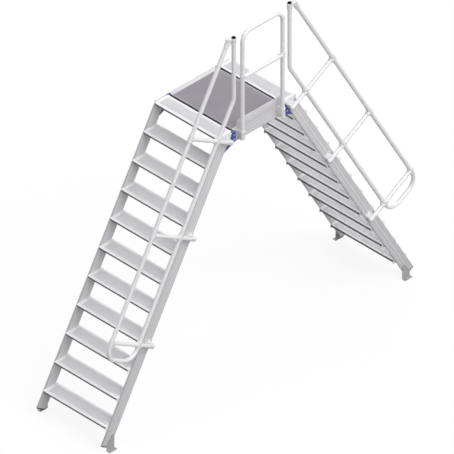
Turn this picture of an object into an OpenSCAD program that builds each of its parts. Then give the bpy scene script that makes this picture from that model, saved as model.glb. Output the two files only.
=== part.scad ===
// Crossover platform: two steep flights of treads meet at a small platform.
// X runs along the walking direction, Y across it, Z up. The origin is on the floor,
// under the middle of the platform. The rail side, with the guard and handrails, is -Y.

/* [Flights] */
// Treads in each flight, the top one level with the platform
steps = 11; // [8:1:13]
// Height from one tread to the next
step_rise = 250; // [200:5:260]
// Slope of both flights, in degrees
pitch = 60; // [50:1:65]
// Clear width between the stiles
clear_width = 815; // [600:5:1000]

/* [Stiles and side beams] */
// Depth of the stile and side beam section
section_depth = 112; // [90:2:140]
// Width of the stile and side beam section
section_width = 25; // [20:1:50]
// Lengthwise grooves in the outer face of the section
section_grooves = 2; // [0:1:6]
// Width of one groove
groove_width = 5; // [2:0.5:8]
// Depth of one groove
groove_depth = 1.5; // [0.5:0.5:3]
// How far the stile tops lie below the platform
stile_top_drop = 2; // [0:1:20]
// Thickness of the cap that closes the foot of a stile
end_cap_thick = 10; // [3:1:12]

/* [Treads] */
// Depth of a tread from nosing to back
tread_depth = 178; // [140:2:220]
// Thickness of the walking surface of a tread
tread_thick = 4; // [3:0.5:8]
// Height of the lips at the front and back of a tread
tread_lip = 22; // [15:1:35]
// Thickness of the lips and of the ribs below a tread
tread_web = 4; // [2:0.5:6]
// Stiffening ribs below a tread
tread_ribs = 2; // [0:1:4]
// How far the nosings stand out in front of the stiles, square to the slope
nosing_proud = 30; // [20:1:80]
// Thickness of the upright leg of the angle at each end of a tread
angle_upright = 5; // [3:0.5:8]
// Height of that leg below the walking surface
angle_depth = 40; // [25:1:60]
// Width of the angle's flat leg on the walking surface
angle_width = 28; // [12:1:40]
// Thickness of the flat leg
angle_flat = 3; // [2:0.5:5]
// Gap between the top tread and the deck
tread_gap = 26; // [5:1:40]

/* [Feet] */
// Width of a foot along the walking direction
foot_width = 97; // [70:1:140]
// Height of a foot's upright leg
foot_height = 150; // [100:5:220]
// Width of that leg's top; below it the outer side slopes down
foot_top_width = 38; // [20:1:60]
// Height at which the sloping side meets the upright one
foot_shoulder = 68; // [30:1:90]
// How far a foot reaches out along the floor
foot_reach = 42; // [35:1:80]
// How far a foot reaches back from the back corner of its stile
foot_back = 48; // [20:1:80]
// Height of that corner above the floor
foot_clear = 26; // [10:1:40]
// Thickness of both legs of a foot
foot_thick = 5; // [4:0.5:10]
// Diameter of the floor anchor hole in each foot
anchor_hole = 14; // [9:1:18]

/* [Platform] */
// Length of the deck along the walking direction
deck_length = 600; // [500:10:1200]
// Length of the side beams
beam_length = 580; // [460:10:1180]
// Thickness of the deck plate
deck_thick = 6; // [3:0.5:10]
// Depth of the frame under the deck, from its top
frame_depth = 60; // [40:1:90]
// Width of the frame's members
frame_width = 28; // [16:1:40]
// Gap where two members, or a member and the deck plate, meet
frame_gap = 0.3; // [0.1:0.05:0.5]
// Cross members under the deck plate
cross_members = 2; // [1:1:5]
// Height of the toe board above the platform
toe_board_height = 110; // [60:5:150]
// Length of the toe board
toe_board_length = 560; // [400:10:1000]
// Thickness of the toe board
toe_board_thick = 4; // [2:0.5:6]
// Width of the connector between a stile and a side beam
connector_width = 23; // [16:1:36]
// How far the connector reaches down the back of the stile, from the bottom of the beam
connector_reach = 75; // [30:1:110]

/* [Tubes] */
// Outer diameter of the guard and handrail tubes
tube = 40; // [30:1:50]
// Clearance round a tube inside its fitting
fit_gap = 0.3; // [0.2:0.05:0.5]
// Wall of the fittings round the tubes
fitting_wall = 6; // [4:0.5:10]

/* [Guard hoop] */
// Height of the top tube's axis above the platform
hoop_height = 1090; // [900:5:1200]
// Distance between the axes of the two posts
hoop_spacing = 516; // [400:2:900]
// Radius of the bends at the top corners, on the tube's axis
hoop_bend = 105; // [60:5:180]
// How far the posts run down below the platform
hoop_tail = 78; // [60:1:100]
// Gap between the side beam and the posts
hoop_offset = 32; // [10:1:60]
// Height of the knee rail's axis above the platform
knee_height = 600; // [300:10:700]
// Height of a socket that holds a post
socket_height = 94; // [50:2:100]
// Thickness of the closed bottom of a socket
socket_floor = 4; // [2:0.5:8]

/* [Handrails] */
// How far the left and right posts' tops stand above the elbow's knuckle
post_rise = [2, 34]; // [0:1:45]
// Distance from the deck's end to the post's axis
post_offset = 58; // [30:1:90]
// Gap between the stiles and the handrail tubes
rail_offset = 22; // [4:1:40]
// Height of the lower rail's axis above the nosings, square to the slope
lower_rail = 75; // [30:1:100]
// Height of the upper rail's axis above the nosings, square to the slope
upper_rail = 473; // [350:1:600]
// Radius of the bend between post and lower rail
post_bend = 120; // [60:5:160]
// Radius of the bends at the foot of the loop
loop_bend = 130; // [80:5:170]
// How far the loop runs past the last strut
loop_overrun = 168; // [150:2:260]
// Distance from the top nosing to the first strut, down the slope
first_strut = -3; // [-20:1:60]
// Distances from each strut to the next, down the slope
strut_spacing = [962, 1073]; // [800:1:1200]
// Distance from the post's axis to the upper end of the upper rail
rail_end_offset = 78; // [70:1:110]
// Distance from the upper rail's end to the elbow's knuckle
knuckle_reach = 24; // [20:1:40]
// How far the struts run past the back of the stile
strut_overrun = 0; // [0:1:50]
// Length of a clamp or tee fitting
fitting_length = 66; // [50:1:90]
// Length of a saddle along the stile
saddle_length = 95; // [70:1:150]
// Height of a saddle across the stile
saddle_height = 80; // [50:1:110]
// How far the saddles sit below the middle of the stile
saddle_drop = 14; // [0:1:20]
// Thickness of the saddle's plate
saddle_thick = 5; // [3:0.5:8]
// Height of the rim of a post's cap
cap_rim = 4; // [2:0.5:8]
// Height of the cap above its rim
cap_dome = 8; // [4:0.5:15]
// How far the rim stands out round the post
cap_lip = 1; // [0.5:0.5:3]
// Diameter of the cap's flat top
cap_top = 28; // [16:1:30]

/* [Hidden] */
$fn = 48;
BEND_JOIN = 2;
BIG = 6000;

tread_run = step_rise / tan(pitch);
platform_top = steps * step_rise;
deck_half = deck_length / 2;
beam_half = beam_length / 2;
half_clear = clear_width / 2;
half_outer = half_clear + section_width;
top_nosing_x = deck_half + tread_gap + tread_depth;
tube_r = tube / 2;
bore_r = tube_r + fit_gap;
fitting_r = bore_r + fitting_wall;

// Distance of the stile's back from the nosing line, square to the slope
stile_back = -nosing_proud - section_depth;
// Length of the stile down the slope, measured from the top nosing
stile_end = (platform_top + stile_back * cos(pitch) - foot_clear) / sin(pitch);
foot_inner_x = slope_point(stile_end, stile_back)[0] - foot_back;

rail_y = half_outer + rail_offset + tube_r;
hoop_y = half_outer + hoop_offset + tube_r;
post_x = deck_half + post_offset;
strut_places = [
    first_strut,
    first_strut + strut_spacing[0],
    first_strut + strut_spacing[0] + strut_spacing[1]
];
loop_end = strut_places[2] + loop_overrun;
rail_end_x = post_x + rail_end_offset;

// A point given by its distance down the slope and above the nosing line, as [x, z]
function slope_point(down, above) = [
    top_nosing_x + down * cos(pitch) + above * sin(pitch),
    platform_top - down * sin(pitch) + above * cos(pitch)
];
// Distance down the slope at which a line that far above the nosings passes x
function down_at_x(x, above) = (x - top_nosing_x - above * sin(pitch)) / cos(pitch);
// The left flight's height or the right flight's, from a pair
function of_flight(flight, pair) = flight < 0 ? pair[0] : pair[1];
function heading(a, b) = atan2(b[1] - a[1], b[0] - a[0]);
// Turn between two headings, from -180 to 180
function turn(from, to) = let (d = to - from) d > 180 ? d - 360 : d < -180 ? d + 360 : d;
function ahead(p, angle, distance) = [p[0] + distance * cos(angle), p[1] + distance * sin(angle)];

post_corner = slope_point(down_at_x(post_x, lower_rail), lower_rail);
loop_path = [
    slope_point(first_strut, lower_rail),
    slope_point(loop_end, lower_rail),
    slope_point(loop_end, upper_rail),
    slope_point(down_at_x(rail_end_x, upper_rail), upper_rail)
];
rail_end = loop_path[3];
knuckle = ahead(rail_end, 180 - pitch, knuckle_reach);
post_top = [for (rise = post_rise) knuckle[1] + rise];

// ---- Placing ----

// Shapes are made for the right flight and mirrored for the left one
module at_flight(side) {
    mirror([side < 0 ? 1 : 0, 0, 0]) children();
}

// Shapes are made for the open side, +Y, and mirrored for the rail side
module at_side(side) {
    mirror([0, side < 0 ? 1 : 0, 0]) children();
}

// x runs down the slope from the top nosing, z square to the slope
module on_slope() {
    translate([top_nosing_x, 0, platform_top]) rotate([0, pitch, 0]) children();
}

// Extrudes an outline along x, with the outline's x across and its y up
module along_x(length) {
    rotate([90, 0, 90]) linear_extrude(length) children();
}

// Extrudes an elevation, drawn as x and z, to both sides of y = 0
module across_y(width) {
    rotate([90, 0, 0]) linear_extrude(width, center = true) children();
}

module rod(length, radius) {
    cylinder(h = length, r = radius);
}

// A round bar in the elevation plane from one [x, z] point, along a heading
module elevation_rod(start, angle, length, radius) {
    translate([start[0], 0, start[1]]) rotate([0, 90 - angle, 0]) rod(length, radius);
}

// ---- Sections ----

// Box section with grooves: x from the inner to the outer face, y from back to front
module ribbed_section() {
    pitch_of_grooves = section_depth / (section_grooves + 1);
    difference() {
        square([section_width, section_depth]);
        if (section_grooves > 0)
            for (i = [1:section_grooves])
                translate([section_width - groove_depth, i * pitch_of_grooves - groove_width / 2])
                    square([groove_depth + 1, groove_width]);
    }
}

// A tube that follows straight lines through corners in the elevation plane. The straight
// lengths are a hair slimmer and run a little way into the bends, so that all of it is one solid.
module bent_tube(path, bend) {
    last = len(path) - 1;
    angles = [for (i = [0:last - 1]) heading(path[i], path[i + 1])];
    turns = [for (i = [1:last - 1]) turn(angles[i - 1], angles[i])];
    trims = [for (i = [0:last]) i == 0 || i == last ? 0 : bend * tan(abs(turns[i - 1]) / 2)];
    for (i = [0:last - 1]) {
        begin = trims[i] - (i > 0 ? BEND_JOIN : 0);
        end = norm(path[i + 1] - path[i]) - trims[i + 1] + (i < last - 1 ? BEND_JOIN : 0);
        elevation_rod(ahead(path[i], angles[i], begin), angles[i], end - begin, tube_r - 0.05);
    }
    for (i = [1:last - 1]) {
        way = turns[i - 1] > 0 ? 1 : -1;
        begin = ahead(path[i], angles[i - 1], -trims[i]);
        centre = ahead(begin, angles[i - 1] + 90 * way, bend);
        from = way > 0 ? angles[i - 1] - 90 : angles[i] + 90;
        translate([centre[0], 0, centre[1]]) rotate([90, 0, 0]) rotate([0, 0, from])
            rotate_extrude(angle = abs(turns[i - 1])) translate([bend, 0]) circle(r = tube_r);
    }
}

// ---- Flights ----

module stile(flight, side) {
    color("silver") at_flight(flight) at_side(side) intersection() {
        on_slope() translate([-section_depth * 2, half_clear, stile_back])
            along_x(stile_end + section_depth * 2) ribbed_section();
        cube([BIG, BIG, platform_top - stile_top_drop]);
    }
}

module stile_end_caps() {
    color("black") for (flight = [-1, 1], side = [-1, 1]) at_flight(flight) at_side(side)
        on_slope() translate([stile_end, half_clear, stile_back])
            cube([end_cap_thick, section_width, section_depth]);
}

// Underside ribs are spread evenly between the two lips
module tread_section() {
    translate([0, -tread_thick]) square([tread_depth, tread_thick]);
    for (i = [0:tread_ribs + 1])
        translate([i * (tread_depth - tread_web) / (tread_ribs + 1), -tread_lip])
            square([tread_web, tread_lip]);
}

// A tread board with an angle riveted to each end
module tread(flight, number) {
    nosing = top_nosing_x + (steps - number) * tread_run;
    surface = number * step_rise;
    color("gainsboro") at_flight(flight) translate([nosing - tread_depth, 0, surface]) {
        across_y(clear_width) tread_section();
        for (side = [-1, 1]) at_side(side) {
            translate([0, half_clear - angle_upright, -angle_depth])
                cube([tread_depth, angle_upright, angle_depth]);
            translate([0, half_clear - angle_width, 0])
                cube([tread_depth, angle_width, angle_flat]);
        }
    }
}

// Each foot is an angle whose upright leg is fixed to the outer face of a stile
module feet() {
    color("gray") for (flight = [-1, 1], side = [-1, 1]) at_flight(flight) at_side(side)
        translate([foot_inner_x, half_outer, 0]) difference() {
            union() {
                translate([0, foot_thick / 2, 0]) across_y(foot_thick) polygon([
                    [0, 0], [foot_width, 0], [foot_width, foot_shoulder],
                    [foot_top_width, foot_height], [0, foot_height]
                ]);
                cube([foot_width, foot_reach, foot_thick]);
            }
            translate([foot_width / 2, (foot_reach + foot_thick) / 2, -1])
                rod(foot_thick + 2, anchor_hole / 2);
        }
}

// ---- Platform ----

module platform_side_beams() {
    color("silver") for (side = [-1, 1]) at_side(side)
        translate([-beam_half, half_clear, platform_top - section_depth])
            along_x(beam_length) ribbed_section();
}

module centred_box(length, width, low, high) {
    translate([-length / 2, -width / 2, low]) cube([length, width, high - low]);
}

// The members round and under the deck plate; the side ones show beside the plate
module platform_frame() {
    low = platform_top - frame_depth;
    ledge = platform_top - deck_thick;
    inner_width = clear_width - 2 * frame_width - 2 * frame_gap;
    inner_length = deck_length - 2 * frame_width - 2 * frame_gap;
    half_cross = (inner_width - frame_width) / 2 - frame_gap;
    color("whitesmoke") {
        for (side = [-1, 1]) {
            translate([0, side * (clear_width - frame_width) / 2, 0])
                centred_box(deck_length, frame_width, low, platform_top);
            translate([side * (deck_length - frame_width) / 2, 0, 0])
                centred_box(frame_width, inner_width, low, ledge);
        }
        centred_box(inner_length, frame_width, low, ledge);
        for (i = [1:cross_members], side = [-1, 1])
            translate([
                i * deck_length / (cross_members + 1) - deck_half,
                side * (frame_width / 2 + frame_gap + half_cross / 2), 0
            ])
                centred_box(frame_width, half_cross, low, ledge);
    }
}

module platform_deck() {
    color("dimgray") centred_box(
        deck_length, clear_width - 2 * frame_width - 2 * frame_gap, platform_top - deck_thick, platform_top
    );
}

// An angle that stands on the side beam, flush with its outer face
module toe_board() {
    color("gainsboro") translate([-toe_board_length / 2, -half_outer, platform_top]) {
        cube([toe_board_length, toe_board_thick, toe_board_height]);
        cube([toe_board_length, section_width, toe_board_thick]);
    }
}

// Connectors fill the angle between the beam's end and the back of the stile
module platform_connectors() {
    bottom = platform_top - section_depth;
    behind = stile_back - 0.1;
    on_back_at = function(z) let (down = (platform_top + behind * cos(pitch) - z) / sin(pitch))
        slope_point(down, behind);
    corner = on_back_at(bottom);
    color("royalblue") for (flight = [-1, 1], side = [-1, 1]) at_flight(flight) at_side(side)
        translate([0, half_clear + section_width / 2, 0]) across_y(connector_width)
            polygon([
                [beam_half, platform_top - stile_top_drop],
                [beam_half, bottom],
                ahead(corner, -pitch, connector_reach),
                on_back_at(platform_top - stile_top_drop)
            ]);
}

// ---- Guard ----

module guard_hoop() {
    top = platform_top + hoop_height;
    bottom = platform_top - hoop_tail;
    half = hoop_spacing / 2;
    color("white") translate([0, -hoop_y, 0])
        bent_tube([[-half, bottom], [-half, top], [half, top], [half, bottom]], hoop_bend);
}

module guard_knee_rail() {
    reach = hoop_spacing - 2 * bore_r;
    color("white") translate([0, -hoop_y, 0])
        elevation_rod([-reach / 2, platform_top + knee_height], 0, reach, tube_r);
}

// A sleeve round each post at the knee rail, and a socket that bolts each post to the beam
module guard_brackets() {
    color("whitesmoke") for (flight = [-1, 1]) at_flight(flight)
        translate([hoop_spacing / 2, -hoop_y, 0]) {
            translate([0, 0, platform_top + knee_height - fitting_length / 2]) difference() {
                union() {
                    rod(fitting_length, fitting_r);
                    translate([0, 0, fitting_length / 2]) rotate([0, -90, 0])
                        rod(fitting_length / 2 + fitting_wall, fitting_r);
                }
                translate([0, 0, -1]) rod(fitting_length + 2, bore_r);
                translate([0, 0, fitting_length / 2]) rotate([0, -90, 0])
                    rod(fitting_length, bore_r);
            }
            translate([0, 0, platform_top - hoop_tail - socket_floor]) difference() {
                union() {
                    rod(socket_height, fitting_r);
                    translate([-fitting_r, 0, 0])
                        cube([2 * fitting_r, hoop_offset + tube_r, socket_height]);
                }
                translate([0, 0, socket_floor]) rod(socket_height, bore_r);
            }
        }
}

// ---- Handrails ----

module handrail_part(flight) {
    at_flight(flight) translate([0, -rail_y, 0]) children();
}

module handrail_post(flight) {
    path = [
        [post_x, of_flight(flight, post_top)],
        post_corner,
        slope_point(first_strut - fit_gap, lower_rail)
    ];
    color("white") handrail_part(flight) bent_tube(path, post_bend);
}

module handrail_loop(flight) {
    color("white") handrail_part(flight) bent_tube(loop_path, loop_bend);
}

// Each strut is two tubes, one on each side of the lower rail
module handrail_struts(flight) {
    foot = stile_back - strut_overrun;
    low_top = lower_rail - bore_r;
    high_foot = lower_rail + bore_r;
    high_top = upper_rail - bore_r;
    color("white") handrail_part(flight) on_slope() for (place = strut_places) {
        translate([place, 0, foot]) rod(low_top - foot, tube_r);
        translate([place, 0, high_foot]) rod(high_top - high_foot, tube_r);
    }
}

module sleeve_along_slope(length) {
    translate([-length / 2, 0, 0]) rotate([0, 90, 0]) rod(length, fitting_r);
}

module bore_along_slope(length) {
    translate([-length / 2, 0, 0]) rotate([0, 90, 0]) rod(length, bore_r);
}

// Cross fitting where a strut passes the lower rail
module cross_clamp() {
    half = fitting_length / 2;
    difference() {
        union() {
            sleeve_along_slope(fitting_length);
            translate([0, 0, -half]) rod(fitting_length, fitting_r);
        }
        bore_along_slope(fitting_length + 2);
        translate([0, 0, -half - 1]) rod(fitting_length + 2, bore_r);
    }
}

// Tee fitting where a strut meets the upper rail
module tee_fitting() {
    half = fitting_length / 2;
    difference() {
        union() {
            sleeve_along_slope(fitting_length);
            translate([0, 0, -half - fitting_wall]) rod(half + fitting_wall, fitting_r);
        }
        bore_along_slope(fitting_length + 2);
        translate([0, 0, -2 * half]) rod(2 * half, bore_r);
    }
}

// Saddle that holds a strut against the outer face of the stile
module saddle() {
    to_stile = rail_y - half_outer;
    difference() {
        union() {
            translate([-saddle_length / 2, to_stile - saddle_thick, -saddle_height / 2])
                cube([saddle_length, saddle_thick, saddle_height]);
            translate([0, 0, -fitting_length / 2]) rod(fitting_length, fitting_r);
            translate([-fitting_r, 0, -fitting_length / 2])
                cube([2 * fitting_r, to_stile, fitting_length]);
        }
        translate([-fitting_r - 1, to_stile, -fitting_length / 2 - 1])
            cube([2 * fitting_r + 2, fitting_r, fitting_length + 2]);
        translate([0, 0, -fitting_length / 2 - 1]) rod(fitting_length + 2, bore_r);
    }
}

// Hinged elbow between the upper rail's end and the post
module elbow(flight) {
    sleeve_top = of_flight(flight, post_top);
    sleeve_low = sleeve_top - fitting_length;
    arm_low = knuckle[1] - tube_r;
    arm_top = min(knuckle[1] + tube_r, sleeve_top);
    rail_angle = -pitch;
    difference() {
        union() {
            translate([post_x, 0, sleeve_low]) rod(fitting_length, fitting_r);
            translate([knuckle[0], 0, knuckle[1]]) rotate([90, 0, 0])
                cylinder(h = tube, r = fitting_r, center = true);
            translate([post_x, -tube_r / 2, arm_low])
                cube([knuckle[0] - post_x, tube_r, arm_top - arm_low]);
            elevation_rod(knuckle, rail_angle, fitting_length, fitting_r);
        }
        translate([post_x, 0, sleeve_top - 2 * fitting_length]) rod(2 * fitting_length + 1, bore_r);
        elevation_rod(ahead(rail_end, 180 - pitch, fit_gap), rail_angle, fitting_length, bore_r);
    }
}

module handrail_fittings(flight) {
    color("whitesmoke") handrail_part(flight) {
        elbow(flight);
        on_slope() for (place = strut_places) {
            translate([place, 0, lower_rail]) cross_clamp();
            translate([place, 0, upper_rail]) tee_fitting();
            translate([place, 0, stile_back + section_depth / 2 - saddle_drop]) saddle();
        }
    }
}

module handrail_post_caps() {
    color("black") for (flight = [-1, 1]) handrail_part(flight)
        translate([post_x, 0, of_flight(flight, post_top)]) {
            rod(cap_rim, tube_r + cap_lip);
            translate([0, 0, cap_rim]) cylinder(h = cap_dome, r1 = tube_r + cap_lip, r2 = cap_top / 2);
        }
}

// ---- Nodes ----

stile(-1, -1);  // left_stile_rail_side
stile(-1, 1);  // left_stile_open_side
stile(1, -1);  // right_stile_rail_side
stile(1, 1);  // right_stile_open_side
stile_end_caps();
feet();
platform_side_beams();
platform_frame();
platform_deck();
platform_connectors();
toe_board();
guard_hoop();
guard_knee_rail();
guard_brackets();
handrail_post(-1);  // left_handrail_post
handrail_loop(-1);  // left_handrail_loop
handrail_struts(-1);  // left_handrail_struts
handrail_fittings(-1);  // left_handrail_fittings
handrail_post(1);  // right_handrail_post
handrail_loop(1);  // right_handrail_loop
handrail_struts(1);  // right_handrail_struts
handrail_fittings(1);  // right_handrail_fittings
handrail_post_caps();
for (number = [1:steps]) {
    tread(-1, number);
    tread(1, number);
}
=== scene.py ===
"""Crossover platform: surfaces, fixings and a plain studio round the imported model.

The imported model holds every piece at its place. This script gives the pieces their surfaces,
puts finer meshes where the model is plain, such as treads, clamps and screws, and lights them.
All sizes are in metres, in the model's own frame: X along the walking direction, Y across it,
Z up, with the rail side at -Y.
"""

import logging
import math
from dataclasses import asdict, dataclass, field
from enum import Enum
from typing import Iterable, List, Mapping, Optional, Sequence, Tuple, Union

import bmesh
import bpy
from bmesh.types import BMesh, BMVert
from bpy.types import ID, Material, Mesh, Node, NodeSocket, NodeTree, Object, World
from mathutils import Matrix, Quaternion, Vector


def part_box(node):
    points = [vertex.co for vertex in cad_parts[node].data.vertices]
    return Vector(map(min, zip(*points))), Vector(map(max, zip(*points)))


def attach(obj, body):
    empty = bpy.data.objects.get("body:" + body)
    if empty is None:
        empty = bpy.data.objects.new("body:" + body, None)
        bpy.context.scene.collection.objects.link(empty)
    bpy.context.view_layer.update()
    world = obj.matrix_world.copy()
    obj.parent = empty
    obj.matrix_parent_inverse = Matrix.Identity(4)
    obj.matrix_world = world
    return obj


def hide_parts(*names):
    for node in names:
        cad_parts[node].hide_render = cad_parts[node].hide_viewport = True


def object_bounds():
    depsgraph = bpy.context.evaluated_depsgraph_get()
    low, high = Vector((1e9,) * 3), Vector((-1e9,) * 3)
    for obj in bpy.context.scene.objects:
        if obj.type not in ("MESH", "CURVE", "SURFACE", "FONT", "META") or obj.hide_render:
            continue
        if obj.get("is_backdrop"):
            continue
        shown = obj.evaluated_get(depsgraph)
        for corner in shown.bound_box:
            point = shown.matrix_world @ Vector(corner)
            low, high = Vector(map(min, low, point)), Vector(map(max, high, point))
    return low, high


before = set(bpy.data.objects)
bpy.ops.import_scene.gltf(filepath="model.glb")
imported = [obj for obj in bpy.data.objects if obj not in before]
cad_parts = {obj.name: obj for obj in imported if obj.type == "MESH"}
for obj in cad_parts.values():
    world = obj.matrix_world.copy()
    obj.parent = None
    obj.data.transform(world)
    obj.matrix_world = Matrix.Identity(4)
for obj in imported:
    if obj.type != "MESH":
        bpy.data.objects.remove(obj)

LOG = logging.getLogger("crossover_platform")
BODY = "root"
SMOOTH_ANGLE = math.radians(35)
FLAT_ANGLE = math.radians(0.5)
SQUARE_ON = 0.9  # least cosine between a face's normal and the way that it counts as facing
MERGE_DISTANCE = 1e-5
GROOVE_DEPTH_LIMIT = 0.003
DULL_SPECULAR = 0.25
SECOND, THIRD = 1, 2  # numbers of a piece's further materials
TREAD_ANGLE = 0.003
UP = Vector((0.0, 0.0, 1.0))
FRONT = Vector((0.0, -1.0, 0.0))
BACK = Vector((0.0, 1.0, 0.0))
WHITE = (1.0, 1.0, 1.0)
RIVET_DOME = tuple((math.cos(i * math.pi / 8), math.sin(i * math.pi / 8)) for i in range(4))

Pair = Tuple[float, float]
Triple = Tuple[float, float, float]


@dataclass(frozen=True)
class Box:
    """An upright box, by its lowest and its highest corner."""

    low: Vector
    high: Vector

    @property
    def centre(self) -> Vector:
        """Its middle."""
        return (self.low + self.high) / 2

    @property
    def size(self) -> Vector:
        """Its three sides."""
        return self.high - self.low

    @property
    def outward(self) -> Tuple[float, float]:
        """The ways along X and Y, as 1 or -1, from the model's middle to the box."""
        return math.copysign(1.0, self.centre.x), math.copysign(1.0, self.centre.y)

    @property
    def near(self) -> Tuple[float, float]:
        """X and Y of its sides that face the model's middle."""
        sides = zip(self.outward, self.low, self.high)
        return tuple(low if way > 0 else high for way, low, high in sides)


def box_of(node: str) -> Box:
    """The box round a node."""
    return Box(*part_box(node))


class Side(Enum):
    """One of two mirrored flights, by the way that it leads along X."""

    LOW = -1
    HIGH = 1

    @property
    def flight(self) -> str:
        """The flight's name in the model."""
        return "left" if self is Side.LOW else "right"

    @property
    def treads(self) -> List[str]:
        """The names of the flight's treads in the model, from the floor up."""
        names = [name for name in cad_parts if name.startswith(f"{self.flight}_tread_")]
        return sorted(names, key=lambda name: int(name.rsplit("_", 1)[1]))

    @property
    def front_edges(self) -> List[Vector]:
        """The middles of the treads' front edges, level with their boards.

        Returns:
            The points, from the floor up.
        """
        boxes = [box_of(name) for name in self.treads]
        fronts = [box.high.x if self is Side.HIGH else box.low.x for box in boxes]
        return [Vector((x, 0.0, box.high.z - TREAD_ANGLE)) for x, box in zip(fronts, boxes)]


# ---- Node trees ----

Number = Union["Signal", float]


class Signal:
    """A number that varies over a surface. Arithmetic on it adds Math nodes."""

    def __init__(self, graph: "Graph", socket: NodeSocket) -> None:
        """Wraps an output socket of a node in a graph."""
        self.graph = graph
        self.socket = socket

    def __add__(self, other: Number) -> "Signal":
        """The sum of two numbers."""
        return self.graph.math("ADD", self, other)

    def __radd__(self, other: Number) -> "Signal":
        """The sum, with the plain number first."""
        return self.graph.math("ADD", other, self)

    def __mul__(self, other: Number) -> "Signal":
        """The product of two numbers."""
        return self.graph.math("MULTIPLY", self, other)

    def __rmul__(self, other: Number) -> "Signal":
        """The product, with the plain number first."""
        return self.graph.math("MULTIPLY", other, self)


class Graph:
    """Adds nodes to a shader or geometry node tree."""

    def __init__(self, tree: NodeTree) -> None:
        """Starts on an existing tree."""
        self.tree = tree

    def node(
        self,
        kind: str,
        settings: Optional[Mapping[str, object]] = None,
        inputs: Optional[Mapping[Union[str, int], object]] = None,
    ) -> Node:
        """Adds one node, sets it up, then fills its sockets.

        Args:
            kind: The node's type.
            settings: The node's own properties.
            inputs: Values, sockets or signals, by socket name or index.

        Returns:
            The new node.
        """
        node = self.tree.nodes.new(kind)
        for name, value in (settings or {}).items():
            setattr(node, name, value)
        for key, value in (inputs or {}).items():
            source = value.socket if isinstance(value, Signal) else value
            if isinstance(source, NodeSocket):
                self.tree.links.new(source, node.inputs[key])
            else:
                node.inputs[key].default_value = source
        return node

    def math(self, operation: str, *operands: Number) -> Signal:
        """Adds a Math node on numbers or signals, and returns its result."""
        node = self.node("ShaderNodeMath", {"operation": operation}, dict(enumerate(operands)))
        return Signal(self, node.outputs[0])

    def rays(self, *kinds: str) -> Signal:
        """Marks the rays of some kinds.

        Args:
            kinds: The kinds, such as Camera or Glossy.

        Returns:
            One for those rays, else zero.
        """
        path = self.node("ShaderNodeLightPath")
        marked, *others = (Signal(self, path.outputs[f"Is {kind} Ray"]) for kind in kinds)
        for other in others:
            marked = self.math("MAXIMUM", marked, other)
        return marked


def emptied(owner: Union[Material, World]) -> NodeTree:
    """Empties the node tree of a new material or world.

    Args:
        owner: The material or world.

    Returns:
        The tree.
    """
    owner.use_nodes = True
    owner.node_tree.nodes.clear()
    return owner.node_tree


class Surface(Graph):
    """A material under construction, with patterns laid out in the model's own metres."""

    def __init__(self, name: str) -> None:
        """Starts an empty material of a name."""
        self.material = bpy.data.materials.new(name)
        super().__init__(emptied(self.material))

    @property
    def coordinates(self) -> NodeSocket:
        """The plain coordinates."""
        return self.node("ShaderNodeTexCoord").outputs["Object"]

    def placed(self, turn: float, stretch: Vector) -> NodeSocket:
        """Coordinates turned about Y and stretched, for a grain that runs along a slope.

        Args:
            turn: Angle about Y, in radians.
            stretch: How much finer a pattern gets along each axis.

        Returns:
            The coordinates' socket.
        """
        where = self.coordinates
        for change in ({"Rotation": (0.0, turn, 0.0)}, {"Scale": tuple(stretch)}):
            inputs = {"Vector": where, **change}
            where = self.node("ShaderNodeMapping", {"vector_type": "POINT"}, inputs).outputs[0]
        return where

    def noise(self, scale: float, detail: float, where: Optional[NodeSocket] = None) -> Signal:
        """Cloudy noise from about 0 to 1, at its own coordinates or the plain ones."""
        inputs = {"Vector": where or self.coordinates, "Scale": scale, "Detail": detail}
        return Signal(self, self.node("ShaderNodeTexNoise", inputs=inputs).outputs[0])

    def cells(self, scale: float) -> Signal:
        """A different grey for each of many small cells.

        Args:
            scale: Cells to the metre.

        Returns:
            The greys as a signal.
        """
        inputs = {"Vector": self.coordinates, "Scale": scale}
        colour = self.node("ShaderNodeTexVoronoi", inputs=inputs).outputs["Color"]
        return Signal(self, self.node("ShaderNodeRGBToBW", inputs={0: colour}).outputs[0])

    def blend(self, factor: Signal, first: Triple, second: Triple) -> NodeSocket:
        """A colour on the way from a first linear colour, at 0, to a second one, at 1."""
        inputs = {0: factor, 6: (*first, 1.0), 7: (*second, 1.0)}
        return self.node("ShaderNodeMix", {"data_type": "RGBA"}, inputs).outputs[2]

    def bump(self, height: Signal, distance: float, strength: float) -> NodeSocket:
        """Relief that only the light shows: its depth, and how far it is felt."""
        inputs = {"Height": height, "Distance": distance, "Strength": strength}
        return self.node("ShaderNodeBump", inputs=inputs).outputs[0]

    def close(self, kind: str, inputs: Mapping[Union[str, int], object]) -> Material:
        """Ends the material in one shader.

        Args:
            kind: The shader's type.
            inputs: Values or links of its sockets.

        Returns:
            The finished material.
        """
        shader = self.node(kind, inputs=inputs)
        self.node("ShaderNodeOutputMaterial", inputs={"Surface": shader.outputs[0]})
        return self.material


# ---- Finishes ----


@dataclass(frozen=True)
class Layer:
    """A pattern that a finish is mixed from.

    Attributes:
        scale: Features to the metre.
        detail: Finer layers added to it, or none for a pattern of cells, as in zinc spangle.
        tone: Its share in the tone, which leads from the dark shade to the light one.
        roughness: What it adds to the roughness.
    """

    scale: float
    detail: Optional[float]
    tone: float
    roughness: float

    def on(self, surface: Surface, where: Optional[NodeSocket] = None) -> Signal:
        """Lays the pattern on a surface, at its own coordinates or the plain ones."""
        if self.detail is None:
            return surface.cells(self.scale)
        return surface.noise(self.scale, self.detail, where)


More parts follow.
